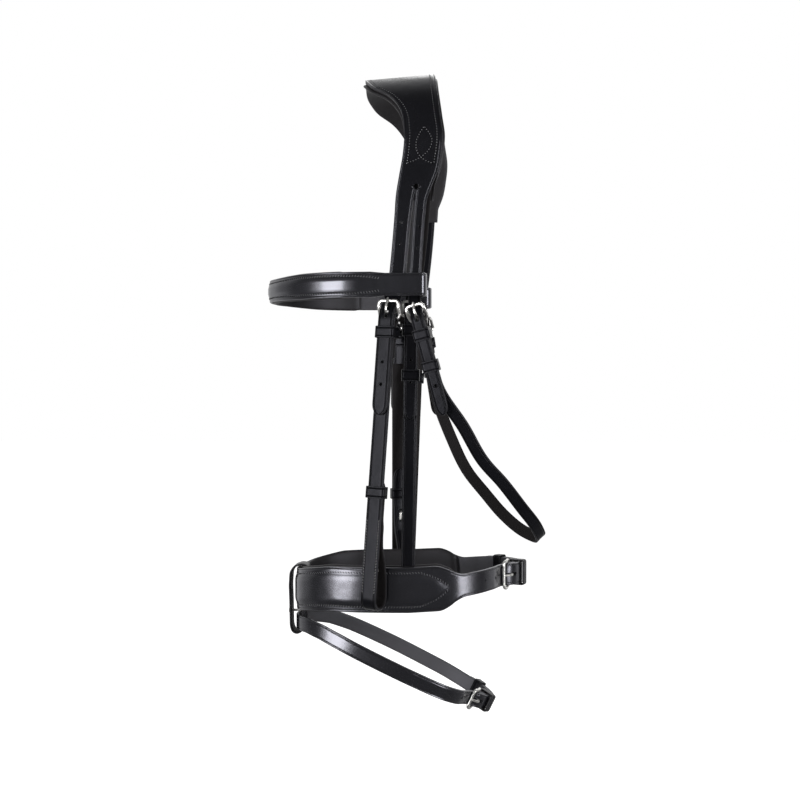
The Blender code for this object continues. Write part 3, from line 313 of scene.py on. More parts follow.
def punched(piece, cutters, side="left"):
    """The piece with each cutter, a list of points and faces, taken out of it."""
    for number, (points, faces) in enumerate(cutters):
        tool = solid(f"{piece.name}_punch_{number}", points, faces, BRIDLE, side)
        change = piece.modifiers.new(f"punch_{number}", "BOOLEAN")
        change.operation = "DIFFERENCE"
        change.solver = "EXACT"
        change.object = tool
    finished(piece)
    for number in range(len(cutters)):
        bpy.data.objects.remove(bpy.data.objects[f"{piece.name}_punch_{number}"])
    piece.data.set_sharp_from_angle(angle=math.radians(40.0))
    return piece


def ring_faces(rings, corners, closed=False):
    """Quads between neighbouring rings of corners, with a cap at each end where the row isn't closed."""
    r, c = np.meshgrid(np.arange(rings if closed else rings - 1), np.arange(corners), indexing="ij")
    d, s = (c + 1) % corners, (r + 1) % rings
    quads = np.stack([r * corners + c, r * corners + d, s * corners + d, s * corners + c], axis=-1)
    faces = quads.reshape(-1, 4).tolist()
    if not closed:
        faces += [list(range(corners)), list(range((rings - 1) * corners, rings * corners))]
    return faces


def distances(path):
    """How far along a path each of its points lies."""
    return np.concatenate([[0.0], np.cumsum(np.linalg.norm(np.diff(path, axis=0), axis=1))])


def looked_up(at, reach, columns):
    """The rows of a table at some distances."""
    return np.column_stack([np.interp(at, reach, column) for column in np.transpose(columns)])


def capsules(count):
    """Points (x, y, z) of one capsule, and the quads and triangles of a number of them.

    A capsule has a point at each end, where x is -0.5 and 0.5, and six-sided rings at -0.4, 0 and 0.4.
    """
    round_at = np.tile(np.radians(np.arange(6) * 60.0), 3)
    swell = np.repeat([0.7, 1.0, 0.7], 6)
    x = np.concatenate([[-0.5], np.repeat([-0.4, 0.0, 0.4], 6), [0.5]])
    y = np.concatenate([[0.0], swell * np.cos(round_at), [0.0]])
    z = np.concatenate([[0.0], swell * np.sin(round_at), [0.0]])
    ring = np.arange(6)
    after = (ring + 1) % 6
    quads = np.vstack([np.column_stack([b + ring, b + after, b + 6 + after, b + 6 + ring]) for b in (1, 7)])
    start = np.column_stack([np.full(6, 0), 1 + after, 1 + ring])
    stop = np.column_stack([np.full(6, 19), 13 + ring, 13 + after])
    ends = np.vstack([start, stop])
    shift = (np.arange(count) * len(x))[:, None, None]
    return (x, y, z), (quads + shift).reshape(-1, 4).tolist(), (ends + shift).reshape(-1, 3).tolist()


def stitches(name, path, out, spacing=2.5, length=1.2, width=0.95, rise=0.4, slant=0.0, side="left"):
    """A row of stitches on a path, each turned by the slant, with a needle hole between each two, shown as a
    dark bead of painted shade.

    Both are capsules. The holes are round in a plain row and slits in a slanted one, where they are as long
    as width + (length - width) sin(slant).
    """
    path = np.asarray(path, float)
    reach = distances(path)
    at = np.arange(spacing / 2, reach[-1], spacing / 2)
    centre, ahead, behind = [looked_up(at + shift, reach, path) for shift in (0.0, 0.4, -0.4)]
    forwards = unit(ahead - behind)
    normal = looked_up(at, reach, np.broadcast_to(out, path.shape))
    normal = unit(normal - (normal * forwards).sum(1)[:, None] * forwards)
    sideways = np.cross(normal, forwards)
    cos, sin = math.cos(math.radians(slant)), math.sin(math.radians(slant))
    along, across = forwards * cos + sideways * sin, sideways * cos - forwards * sin
    (x, y, z), quads, ends = capsules(len(at))
    # every other capsule is a dark bead of painted shade that stands for a needle hole
    hole = (np.arange(len(at)) % 2)[:, None, None]
    slit = abs(sin)
    hole_length = width + (length - width) * slit
    hole_width = width * (0.8 - 0.45 * slit)
    hole_rise = 0.06 + 0.25 * slit
    points = (
        centre[:, None]
        + x[None, :, None] * np.where(hole, hole_length, length) * along[:, None]
        + y[None, :, None] * np.where(hole, hole_width, width / 2) * across[:, None]
        + z[None, :, None] * np.where(hole, hole_rise, rise) * normal[:, None]
    )
    piece = solid(name, points.reshape(-1, 3), quads + ends, THREAD, side)
    # the needle holes' capsules take the painted shade
    piece.data.materials.append(NEEDLE_HOLE_SHADE)
    faces_each = len(quads) // len(at)
    dark = np.tile(np.repeat(hole.ravel(), faces_each), 2)
    piece.data.polygons.foreach_set("material_index", dark.astype(np.int32))
    return piece


TURNS = np.radians(np.linspace(0.0, 90.0, 181))
ARCH_OUT = np.concatenate([POLL_HALF_WIDTH * np.sin(TURNS), [POLL_HALF_WIDTH]])
ARCH_DROP = np.concatenate([POLL_RISE * (np.cos(TURNS) - 1.0), [-POLL_RISE - 200.0]])
ARCH_LENGTH = np.concatenate([[0.0], np.cumsum(np.hypot(np.diff(ARCH_OUT), np.diff(ARCH_DROP)))])


def arch(reach, lift):
    """(y, z) at a distance from the top of a quarter ellipse with a straight leg, lifted off its curve."""
    away = np.abs(np.asarray(reach, float))
    y = np.interp(away, ARCH_LENGTH, ARCH_OUT)
    z = np.interp(away, ARCH_LENGTH, ARCH_DROP)
    ny = np.interp(away, ARCH_LENGTH, np.gradient(-ARCH_DROP, ARCH_LENGTH))
    nz = np.interp(away, ARCH_LENGTH, np.gradient(ARCH_OUT, ARCH_LENGTH))
    size = np.hypot(ny, nz)
    return np.where(np.asarray(reach) < 0, -1.0, 1.0) * (y + lift * ny / size), z + lift * nz / size


SEAT_DROP = arch(SEAT_LENGTH / 2, -LINING_THICKNESS)[1]


def on_arch(reach, x, lift):
    """World points on the headpiece; over the poll its rear edge stands higher than its front."""
    reach, x, lift = np.broadcast_arrays(np.asarray(reach, float), x, lift)
    y, z = arch(reach, lift)
    away = np.maximum(np.abs(reach), SEAT_LENGTH / 2)
    fade = np.clip(1.0 - away / 95.0, 0.0, 1.0) ** 1.3
    return np.stack([x, y, z - SEAT_DROP + POLL_TILT * fade * x], axis=-1)


def cubic(knots, values, at):
    """A curve through (knot, value) points, looked up at some places: a cubic between each two, whose slope
    at a point is that of its neighbours."""
    slopes = np.gradient(values, knots)
    k = np.clip(np.searchsorted(knots, at, side="right") - 1, 0, len(knots) - 2)
    span = knots[k + 1] - knots[k]
    f = (at - knots[k]) / span
    return (
        (2 * f**3 - 3 * f**2 + 1) * values[k]
        + (f**3 - 2 * f**2 + f) * span * slopes[k]
        + (3 * f**2 - 2 * f**3) * values[k + 1]
        + (f**3 - f**2) * span * slopes[k + 1]
    )


def edge(table, reach):
    """An edge's x at a distance from the top; an edge that starts at the top is the same on both sides."""
    table = np.asarray(table, float)
    if table[0, 0] == 0:
        table = np.vstack([(-table[1, 0], table[1, 1]), table])
    return cubic(table[:, 0], table[:, 1], np.abs(np.asarray(reach, float)))


SLIT_HOLE = 2.4
UNCREASED = 2.6
EDGE_ROUNDING = 0.8
LEG_HOLES = ((17.2, -109.0), (4.1, -139.2), (2.3, -158.8), (20.3, -143.0), (18.8, -162.6))
COLUMNS = 14


def headpiece_grid():
    """Rows and columns of reach, x and distance from the nearest edge, and which rows the slit leaves open.

    The first half of the columns is the front panel, from the front edge to the slit's line; the second half
    is the rear one. Over the poll, where there is no slit, both meet on that line.
    """
    rows = np.concatenate([np.arange(0.0, SLIT_TOP - 4, 2.0), np.arange(SLIT_TOP - 4, SLIT_TOP + 4, 0.4)])
    rows = np.concatenate([rows, np.arange(SLIT_TOP + 4, LEG_END, 2.0), [LEG_END]])
    reach = np.concatenate([-rows[:0:-1], rows])
    away = np.abs(reach)
    front, rear = edge(FRONT_EDGE, away), edge(REAR_EDGE, away)
    middle = SLIT_FRONT[0][1] * np.minimum(away / SLIT_TOP, 1.0)
    split = away > SLIT_TOP
    hole = np.sqrt(np.clip(SLIT_HOLE**2 - (away - SLIT_TOP) ** 2, 0.0, None))
    slit_front = np.where(split, edge(SLIT_FRONT, np.maximum(away, SLIT_TOP)), middle)
    slit_rear = np.where(split, edge(SLIT_REAR, np.maximum(away, SLIT_TOP)), middle)
    slit_front = np.minimum(slit_front, middle - hole)
    slit_rear = np.where(hole > 0.0, np.maximum(slit_rear, middle + hole), slit_rear)
    share = np.linspace(0.0, 1.0, COLUMNS)
    front_panel = front[:, None] + share * (slit_front - front)[:, None]
    rear_panel = slit_rear[:, None] + share * (rear - slit_rear)[:, None]
    x = np.concatenate([front_panel, rear_panel], axis=1)
    in_front = np.arange(2 * COLUMNS) < COLUMNS
    from_slit = np.where(in_front, slit_front[:, None] - x, x - slit_rear[:, None])
    from_hole = np.hypot(x - middle[:, None], (SLIT_TOP - away)[:, None]) - SLIT_HOLE + UNCREASED
    from_slit = np.where(away[:, None] > SLIT_TOP, from_slit, from_hole)
    rim = np.minimum(np.minimum(x - front[:, None], rear[:, None] - x), np.maximum(from_slit, 0.0))
    return reach, x, rim, slit_rear - slit_front > 0.02


def headpiece():
    """The crown with its legs: the grid at two lifts, for the face and the flesh side, closed by walls.

    Its two panels share their points where the slit isn't open.
    """
    reach, x, rim, open_row = headpiece_grid()
    place = np.arange(x.size).reshape(x.shape)
    place[~open_row, COLUMNS] = place[~open_row, COLUMNS - 1]
    quads = []
    for panel in (place[:, :COLUMNS], place[:, COLUMNS:]):
        corners = [panel[:-1, :-1], panel[:-1, 1:], panel[1:, 1:], panel[1:, :-1]]
        quads.append(np.stack(corners, -1).reshape(-1, 4))
    used, quads = np.unique(np.vstack(quads), return_inverse=True)
    quads = quads.reshape(-1, 4)
    sides = np.stack([quads, np.roll(quads, -1, axis=1)], -1).reshape(-1, 2)
    keys, count = np.unique(np.sort(sides, axis=1), axis=0, return_counts=True)
    free_edges = keys[count == 1]
    face = on_arch(reach[:, None], x, LEATHER).reshape(-1, 3)[used]
    under = on_arch(reach[:, None], x, 0.0).reshape(-1, 3)[used]
    n = len(used)
    walls = np.column_stack([free_edges, free_edges[:, ::-1] + n])
    faces = quads.tolist() + (quads[:, ::-1] + n).tolist() + walls.tolist()
    rims = np.tile(rim.ravel()[used], 2) * MM
    flesh = np.repeat([0.0, 1.0], n)
    piece = solid("headpiece_leather", np.vstack([face, under]), faces, BRIDLE, rim=rims, flesh=flesh)
    rounding = piece.modifiers.new("edges", "BEVEL")
    rounding.width = EDGE_ROUNDING * MM
    rounding.segments = 3
    rounding.limit_method = "ANGLE"
    rounding.angle_limit = math.radians(50.0)
    return punched(finished(piece), leg_holes())


def leg_holes():
    """The cutters for the buckle holes in the legs: each closes to a fine point on the flesh side."""
    turn = np.radians(np.arange(20) * 18.0)
    cos, sin = np.cos(turn), np.sin(turn)
    inner = (POLL_HALF_WIDTH - 0.2, 0.02)
    outer = (POLL_HALF_WIDTH + LEATHER + 0.4, HOLE_SIZE / 2)
    cutters = []
    for hand in (-1.0, 1.0):
        for x, z in LEG_HOLES:
            points = [
                np.column_stack([x + radius * cos, np.full(20, hand * out), z + radius * sin])
                for out, radius in (inner, outer)
            ]
            cutters.append((np.vstack(points), ring_faces(2, 20)))
    return cutters


crown = headpiece()
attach(crown, "headpiece")
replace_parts(crown, "headpiece")


def smooth(rows, count):
    """A smooth curve through rows whose first three columns are places, as evenly spaced rows."""
    rows = np.asarray(rows, float)
    knots = distances(rows[:, :3])
    at = np.linspace(0.0, knots[-1], count)
    return np.column_stack([cubic(knots, column, at) for column in rows.T])


def headpiece_row(name, points, side):
    """A row of stitches on the headpiece's face, through (reach, x) points."""
    points = np.asarray(points, float)
    reach, x, _ = smooth(np.column_stack([points, np.zeros(len(points))]), 300).T
    path = on_arch(-reach, x, LEATHER)
    out = unit(on_arch(-reach, x, LEATHER + 1.0) - path)
    row = stitches(name, path, out, rise=0.22, side=side)
    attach(row, "headpiece")


EDGE_STITCH = 5.0
LEAF_TOP = (92.7, 24.3)
LEAF_FRONT = [LEAF_TOP, (100, 19.8), (107, 17.2), (113, 17.6), (118, 19.9), (122.5, 25.0), (126, 32.8)]
LEAF_REAR = [LEAF_TOP, (98.5, 28.9), (104.5, 31.5), (111.6, 29.7), (117.9, 24.2), (122.5, 16.5), (125, 8.9)]
stitched = np.linspace(0.0, 125.5, 60)
front_row = np.column_stack([stitched, edge(FRONT_EDGE, stitched) + EDGE_STITCH])
rear_row = np.column_stack([stitched, edge(REAR_EDGE, stitched) - EDGE_STITCH])
for side in ("left", "right"):
    headpiece_row(f"stitch_front_{side}", front_row, side)
    headpiece_row(f"stitch_rear_{side}", rear_row, side)
    headpiece_row(f"stitch_leaf_front_{side}", LEAF_FRONT, side)
    headpiece_row(f"stitch_leaf_rear_{side}", LEAF_REAR, side)


# Headpiece lining: a long soft pad under the crown, of thin lining leather over foam, its edges rolled out
# past the crown, in front only over the poll. It ends on each side just below the slit, and the noseband's
# own strap runs above it.

GAP = 0.3
LINING_OVERHANG = 2.0
FRONT_ROLL_END = 100.0
HANGER_WIDTH = 12.5
THIN_LEATHER = 2.2
NO_RIM = 0.01
HEADSTRAP_LINE = [(0, 2), (50, 7), (80, 15), (105, 22.5), (130, 25), (155, 24), (171, 22.9), (222, 17.5)]
HEADSTRAP_LINE += [(LEG_END, 15.0)]

LINING_COLOURS = ((0.006, 0.0055, 0.0055), (0.012, 0.011, 0.011), (0.012, 0.011, 0.011))
LINING = leather("lining_leather", *LINING_COLOURS, 0.5, 0.05, 0.3, crease=-9.0)
LINING_END = 158.0
LINING_CORNERS = 56
PAD_CORNERS = 48


def superellipse(corners, flat, full):
    """(cos^flat, sin^full) round a section: below one, a power squares it off."""
    turn = np.radians(np.arange(corners) * 360.0 / corners)
    cos, sin = np.cos(turn), np.sin(turn)
    return np.abs(cos) ** flat * np.sign(cos), np.abs(sin) ** full * np.sign(sin)


def headpiece_lining():
    """A pillow along the reach: its section is a superellipse, flat above, fuller below, with a channel."""
    rows = np.concatenate([np.arange(0.0, LINING_END, 2.0), [LINING_END]])
    reach = np.concatenate([-rows[:0:-1], rows])
    away = np.abs(reach)
    roll = LINING_OVERHANG * ramp(away, FRONT_ROLL_END, FRONT_ROLL_END - 30.0)
    front = edge(FRONT_EDGE, away) - roll
    carried = edge(HEADSTRAP_LINE, away)
    rear = np.maximum(edge(REAR_EDGE, away) + LINING_OVERHANG, carried + HANGER_WIDTH / 2 + 2.8)
    swell, body = superellipse(LINING_CORNERS, 0.35, 0.7)
    x = (front + rear)[:, None] / 2 + swell * (rear - front)[:, None] / 2
    half = (LINING_THICKNESS - GAP) / 2
    ends = ramp(away, LINING_END + 0.5, LINING_END - 4.5) ** 0.5
    lift = -GAP - half + body * half * (0.35 + 0.65 * ends[:, None])
    in_channel = np.clip(1.6 - np.abs(x - carried[:, None]) / (HANGER_WIDTH / 2 + 0.6), 0.0, 0.6) / 0.6
    channel = -(THIN_LEATHER + 2 * GAP)
    lift = np.where(lift > channel, lift + (channel - lift) * in_channel, lift)
    points = on_arch(reach[:, None], x, lift).reshape(-1, 3)
    faces = ring_faces(len(reach), LINING_CORNERS)
    piece = solid("headpiece_pad", points, faces, LINING, rim=np.full(len(points), NO_RIM))
    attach(piece, "headpiece")
    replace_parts(piece, "headpiece_lining")


headpiece_lining()


# Noseband headstrap: a thin strap that carries the noseband. It lies between the crown and its lining and
# comes down inside the rear legs.


def frames(centres, across, closed=False):
    """The ways along, across and out of a path of sections; out is across turned over along."""
    if closed:
        along = unit(np.roll(centres, -1, axis=0) - np.roll(centres, 1, axis=0))
    else:
        along = unit(np.gradient(centres, axis=0))
    across = np.broadcast_to(np.asarray(across, float), centres.shape)
    across = unit(across - (across * along).sum(1)[:, None] * along)
    return along, across, np.cross(across, along)


def swept(centres, across, out, a, b):
    """World points of a section (a across, b out) at each place of a path."""
    points = centres[:, None] + a[..., None] * across[:, None] + b[..., None] * out[:, None]
    return points.reshape(-1, 3)


PLAIN_COLUMNS = 9
RAISED_COLUMNS = 25


def strap_section(width, thick, edge_round, columns):
    """Rows (across, out) of a strap: its face, a rounded edge, its flesh side and the other rounded edge."""
    r = np.minimum(edge_round, 0.47 * np.minimum(width, thick))[:, None]
    bend = np.radians([30.0, 60.0, 90.0])
    face, back, one = np.linspace(-1, 1, columns), np.linspace(1, -1, 5), np.ones(3)
    sin, cos = np.sin(bend), np.cos(bend)
    flat = np.concatenate([face, one, one, back, -one, -one])
    side = np.concatenate([face * 0, sin, sin[::-1], back * 0, -sin, -sin[::-1]])
    level = np.concatenate([face * 0 + 1, one, -one, back * 0 - 1, -one, one])
    rise = np.concatenate([face * 0 + 1, cos, -cos[::-1], back * 0 - 1, -cos, cos[::-1]])
    half_width, half_thick = width[:, None] / 2, thick[:, None] / 2
    return flat * (half_width - r) + side * r, level * (half_thick - r) + rise * r


def strap(
    name, centres, across, width, thick, edge_round=1.0, closed=False, raised=None, finish=STRAP, side="left"
):
    """A strap along a path; raised(a) is how far its face swells at a distance across."""
    centres = np.asarray(centres, float)
    width = np.broadcast_to(np.asarray(width, float), len(centres))
    thick = np.broadcast_to(np.asarray(thick, float), len(centres))
    _, across, out = frames(centres, across, closed)
    a, b = strap_section(width, thick, edge_round, PLAIN_COLUMNS if raised is None else RAISED_COLUMNS)
    rim = (width[:, None] / 2 - np.abs(a)) * MM
    flesh = np.clip(0.5 - b / thick[:, None], 0.0, 1.0)
    if raised is not None:
        b = b + raised(a) * (b > 0.45 * thick[:, None])
    points = swept(centres, across, out, a, b)
    faces = ring_faces(len(centres), a.shape[1], closed)
    piece = solid(name, points, faces, finish, side, rim=rim, flesh=flesh)
    return piece


reach = np.arange(-LEG_END, LEG_END + 0.1, 2.0)
line = edge(HEADSTRAP_LINE, reach)
depth = -GAP - THIN_LEATHER / 2
path = on_arch(reach, line, depth)
forwards = path - on_arch(reach, line + 1.0, depth)
headstrap = strap("headstrap_leather", path, forwards, HANGER_WIDTH, THIN_LEATHER)
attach(headstrap, "headpiece")
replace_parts(headstrap, "noseband_headstrap")


# Browband: a shaped strap across the forehead. Each end is folded inwards into a loop round the headpiece's
# legs and sewn down. Its middle is padded from behind and held between two rows of slanted stitches.

SKIVED = 1.4
BROWBAND_HEIGHT = 23.0
BROWBAND_LOOP_HEIGHT = 20.5
BROWBAND_LEATHER = 2.6
BROWBAND_LINING = 3.4
BROWBAND_SWELL = 1.5
BROWBAND_Z = -195.0
UPWARDS = (0.0, 0.0, 1.0)
BROWBAND_ROW = 3.9
BROWBAND_SLANT = 58.0
SLANTED_STITCH = {"spacing": 2.6, "length": 2.5, "width": 0.95}
LEG_OUT = POLL_HALF_WIDTH + LEATHER
LOOP_OUTER = LEG_OUT + GAP + SKIVED + 0.9
LOOP_INNER = POLL_HALF_WIDTH - GAP * 3 - THIN_LEATHER - SKIVED - 0.7
FINE_END = 12.0


def walk(rows, step=1.2, ease=1.3, closed=False, point=False):
    """Rows along a path in even steps, each the weighted mean of its neighbours, so that bends run together.

    Distance is measured on the first three columns. A pointed end gets closer and closer steps over its
    last stretch. The distance that is left to the end comes back too.
    """
    rows = np.asarray(rows, float)
    if closed:
        rows = np.vstack([rows, rows[:1]])
    run = distances(rows[:, :3])
    count = int(run[-1] / step) + 2
    even = np.linspace(0.0, run[-1], count)
    fine = np.column_stack([np.interp(even, run, column) for column in rows.T])
    half = max(1, int(3 * ease / step))
    weight = np.exp(-0.5 * (np.arange(-half, half + 1) * step / ease) ** 2)
    weight /= weight.sum()
    if closed:
        fine = fine[:-1]
        long = np.vstack([fine[-half:], fine, fine[:half]])
    else:
        beyond = np.arange(half, 0, -1)[:, None]
        before = fine[0] + (fine[0] - fine[1]) * beyond
        after = fine[-1] + (fine[-1] - fine[-2]) * beyond[::-1]
        long = np.vstack([before, fine, after])
    fine = np.column_stack([np.convolve(column, weight, "valid") for column in long.T])
    if closed:
        return fine, even[:-1]
    if point:
        near_end = run[-1] - FINE_END * np.linspace(1.0, 0.0, 26) ** 2
        at = np.concatenate([even[even < run[-1] - FINE_END - 0.5], near_end])
        fine = np.column_stack([np.interp(at, even, column) for column in fine.T])
        even = at
    return fine, run[-1] - even


def walk_flat(path, **how):
    """Rows (down, out) with a zero after them, in the even steps of walk(), and the distance left."""
    return walk(np.column_stack([path, np.zeros(len(path))]), **how)


def browband_plan():
    """(x, out) from the inner end of the near loop, round the forehead, to the same end of the far one."""
    wall = BROWBAND_LEATHER / 2
    outer, inner = LOOP_OUTER + wall, LOOP_INNER - wall
    middle, fold = (outer + inner) / 2, (outer - inner) / 2
    rear = 27.0 - fold * 0.55 - wall
    loop = [(-21.0, outer - BROWBAND_LEATHER - GAP - 0.2), (-16.5, outer - BROWBAND_LEATHER - 1.8)]
    loop += [(-11.8, inner + 2.2), (-8.0, inner + 0.2), (0.0, inner), (rear - 4.0, inner)]
    loop += [(rear - 1.0, inner)]
    turn = np.radians(np.linspace(20.0, 160.0, 15))
    loop += np.column_stack([rear + 0.55 * fold * np.sin(turn), middle - fold * np.cos(turn)]).tolist()
    loop += [(rear - 4.0, outer), (4.0, outer), (-10.0, outer), (-22.0, outer)]
    front = [(-22.0, outer, 0.0), (-50.0, outer - 2.4, 0.0), (-77.5, outer - 12.0, 0.0)]
    front += [(-100.5, outer - 28.5, 0.0), (-116.5, outer - 47.0, 0.0), (-123.6, outer - 61.0, 0.0)]
    front += [(-124.6, 0.0, 0.0)]
    half = np.vstack([loop, smooth(front, 90)[1:, :2]])
    return np.vstack([half * [1, -1], half[-2::-1]])


def browband():
    """The strap from one loop round the forehead to the other, with its swelling, its pad and its thread."""
    plan = browband_plan()
    rows, left = walk(np.column_stack([plan, np.full(len(plan), BROWBAND_Z)]))
    x = rows[:, 0]
    wide = BROWBAND_LOOP_HEIGHT + (BROWBAND_HEIGHT - BROWBAND_LOOP_HEIGHT) * ramp(x, -10.0, -24.0)
    wide -= 2.0 * ramp(x, -90.0, -115.0)
    outside = (left > 100.0) & (left < left[0] - 100.0)
    swell = eased(outside * ramp(x, -17.0, -39.0))[:, None]

    def raised(a):
        inside = wide[:, None] / 2 - np.abs(a)
        return BROWBAND_SWELL * swell * ramp(inside, 3.6, 8.1) ** 0.6

    piece = strap("browband_leather", rows, UPWARDS, wide, BROWBAND_LEATHER, raised=raised, finish=BAND)
    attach(piece, "browband")
    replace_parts(piece, "browband")
    _, across, out = frames(rows, UPWARDS)
    sewn = (x < -11.0) & outside
    for label, sign in (("top", 1.0), ("bottom", -1.0)):
        offset = sign * (wide[:, None] / 2 - BROWBAND_ROW - 1.2 * (1.0 - swell))
        row = rows + offset * across + (BROWBAND_LEATHER / 2 + raised(offset)) * out
        name = f"browband_stitch_{label}"
        seam = stitches(name, row[sewn], out[sewn], slant=sign * BROWBAND_SLANT, **SLANTED_STITCH)
        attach(seam, "browband")
    lined = (x < -45.0) & outside
    inset = BROWBAND_LEATHER / 2 + GAP + BROWBAND_LINING / 2
    centres = rows[lined] - inset * out[lined]
    pad = padding("browband_pad", centres, across[lined], wide[lined] + 1.8, BROWBAND_LINING)
    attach(pad, "browband")
    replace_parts(pad, "browband_lining")


def padding(name, centres, across, width, thick, fullness=0.5):
    """A padded lining: its section is a superellipse, rolled at the edges, and its ends close in a round."""
    centres = np.asarray(centres, float)
    _, across, out = frames(centres, across)
    run = distances(centres)
    ends = ramp(np.minimum(run, run[-1] - run), 0.0, 7.0)
    ends = np.sqrt(np.clip(1.0 - (1.0 - ends) ** 2, 0.02, 1.0))
    flat, full = superellipse(PAD_CORNERS, 0.4, 0.75)
    a = flat * (width * (0.75 + 0.25 * ends))[:, None] / 2
    b = full * (thick * ends)[:, None] / 2
    b = b - fullness * (b < 0) * ends[:, None] * (1.0 - (a / (width[:, None] / 2)) ** 2)
    points = swept(centres, across, out, a, b)
    faces = ring_faces(len(centres), PAD_CORNERS)
    piece = solid(name, points, faces, LINING, rim=np.full(a.shape, NO_RIM))
    return piece


browband()


# Buckled joints: each side strap is folded round the bar of a plated steel buckle and kept closed by a
# sewn keeper. A billet from above passes under the frame's far side and over the fold, the tongue stands
# in its hole, and a loose keeper, the runner, holds its point.

CHEEK_WIDTH = 15.0
THROAT_WIDTH = 11.5
BILLET_LENGTH = 87.0
HOLE_SPACING = 20.0
BILLET_HOLE_LENGTH = 7.4
FLEX_Z = -205.6
FRAME_BAR = 3.0
FRAME_SIDE = 0.7
FRAME_THICKNESS = 2.4
NEAR_CORNER = 2.4
FAR_CORNER = 3.2
PRONG = 1.9
POINT_LENGTH = 11.0
KEEPER_AT = 8.0
KEEPER_WALL = 1.4
KEEPER_CORNER = 0.8
KEEPER_LENGTH = 10.5
LAP_OUT = LEG_OUT + GAP + SKIVED / 2


def plated(name):
    """Polished plate: faint rubbing marks in its colour and gloss."""
    material, tree, shader = shaded(name, metallic=1.0)
    marks = noise_node(tree, 420.0, 4.0)
    cloud = noise_node(tree, 90.0, 2.0)
    colour = colour_node(tree, cloud, (0.62, 0.61, 0.59), (0.78, 0.77, 0.75))
    tree.links.new(colour, shader.inputs["Base Color"])
    tree.links.new(math_node(tree, "MULTIPLY_ADD", marks, 0.2, 0.2), shader.inputs["Roughness"])
    bumped(tree, shader, math_node(tree, "MULTIPLY", marks, 0.06 * MM))
    return material


STEEL = plated("plated_steel")
BAR_CORNERS = 16


def bar(name, centres, across, width, thick, side, closed=False):
    """A metal bar along a path, its section a rounded oblong."""
    centres = np.asarray(centres, float)
    _, across, out = frames(centres, across, closed)
    b, a = superellipse(BAR_CORNERS, 0.7, 0.7)
    a = a * np.broadcast_to(width, len(centres))[:, None] / 2
    b = b * np.broadcast_to(thick, len(centres))[:, None] / 2
    points = swept(centres, across, out, a, b)
    faces = ring_faces(len(centres), BAR_CORNERS, closed)
    piece = solid(name, points, faces, STEEL, side, sharp=60.0)
    return piece


def arc(radius, start, stop, steps):
    """Points (down, out) round a bar, from one angle to another, measured from out towards down."""
    turn = np.radians(np.linspace(start, stop, steps))
    return np.column_stack([radius * np.sin(turn), radius * np.cos(turn)])


def pointed(left, width):
    """A strap's width near its end: full, then narrowing to a rounded point."""
    share = ramp(left, 0.0, POINT_LENGTH)
    return width * np.maximum(0.08, np.sqrt(1.0 - (1.0 - share) ** 2.4))


class Seat:
    """A place on a strap: where it is, and the ways down the strap, out of its face and across it."""

    def __init__(self, origin, down, out):
        self.origin = np.asarray(origin, float)
        self.down = unit(down)
        out = np.asarray(out, float)
        self.out = unit(out - out.dot(self.down) * self.down)
        self.across = np.cross(self.down, self.out)

    def at(self, down, out, across=0.0):
        """World points from distances down, out and across."""
        down, out, across = np.broadcast_arrays(down, out, across)
        return (
            self.origin
            + np.multiply.outer(down, self.down)
            + np.multiply.outer(out, self.out)
            + np.multiply.outer(across, self.across)
        )


def near_seat(origin, down, turn=0.0):
    """A seat on the near side, from (x, out, z) values, its face turned forwards by an angle in degrees."""
    x, out, z = origin
    turn = math.radians(turn)
    return Seat((x, -out, z), (down[0], -down[1], down[2]), (-math.sin(turn), -math.cos(turn), 0.0))


class Joint:
    """The heights in a buckled joint, all from the bar's centre, for one thickness of leather."""

    def __init__(self, strap_width, leather_thickness, frame_length):
        self.strap_width = strap_width
        self.leather = leather_thickness
        self.frame_length = frame_length
        self.fold = FRAME_BAR / 2 + 0.1 + GAP + leather_thickness / 2
        self.back = self.fold - leather_thickness - GAP
        self.top = self.fold + leather_thickness + GAP
        self.far_bar = leather_thickness + FRAME_THICKNESS / 2
        self.under = self.far_bar - FRAME_THICKNESS / 2 - GAP - leather_thickness / 2
        self.inner_width = strap_width + 2 * FRAME_SIDE

    def fold_path(self, chape):
        """(down, out) of the strap's folded end, from under the strap, round the bar, to its face."""
        under = [(chape, self.back), (self.fold + 6.0, self.back), (self.fold + 2.4, self.back - 0.4)]
        return np.vstack([under, arc(self.fold, 140.0, 360.0, 28), [(4.0, self.fold)]])

    def billet_path(self):
        """(down, out) of the billet from the frame's far side to just past the bar."""
        step = self.top - self.under
        rows = [(-self.frame_length, self.under), (-self.frame_length * 0.62, self.under + 0.27 * step)]
        rows += [(-self.frame_length * 0.31, self.under + 0.78 * step), (-0.2, self.top), (5.0, self.top)]
        return np.array(rows)

    def tongue_path(self):
        """(down, out) of the tongue: nearly round the bar, out through the billet, onto the frame."""
        radius = FRAME_BAR / 2 + PRONG / 2
        rest = self.far_bar + FRAME_THICKNESS / 2 + GAP + PRONG / 2
        length = self.frame_length
        lift = self.top + self.leather / 2
        free = [(-radius - 0.5, (radius + lift) * 0.38), (-0.27 * length, lift - 1.2)]
        free += [(-0.47 * length, lift + 0.35), (-0.75 * length, lift - 0.2)]
        free += [(-length, rest), (-length - 3.2, rest - 0.7)]
        return np.vstack([arc(radius, 40.0, 300.0, 24), free])


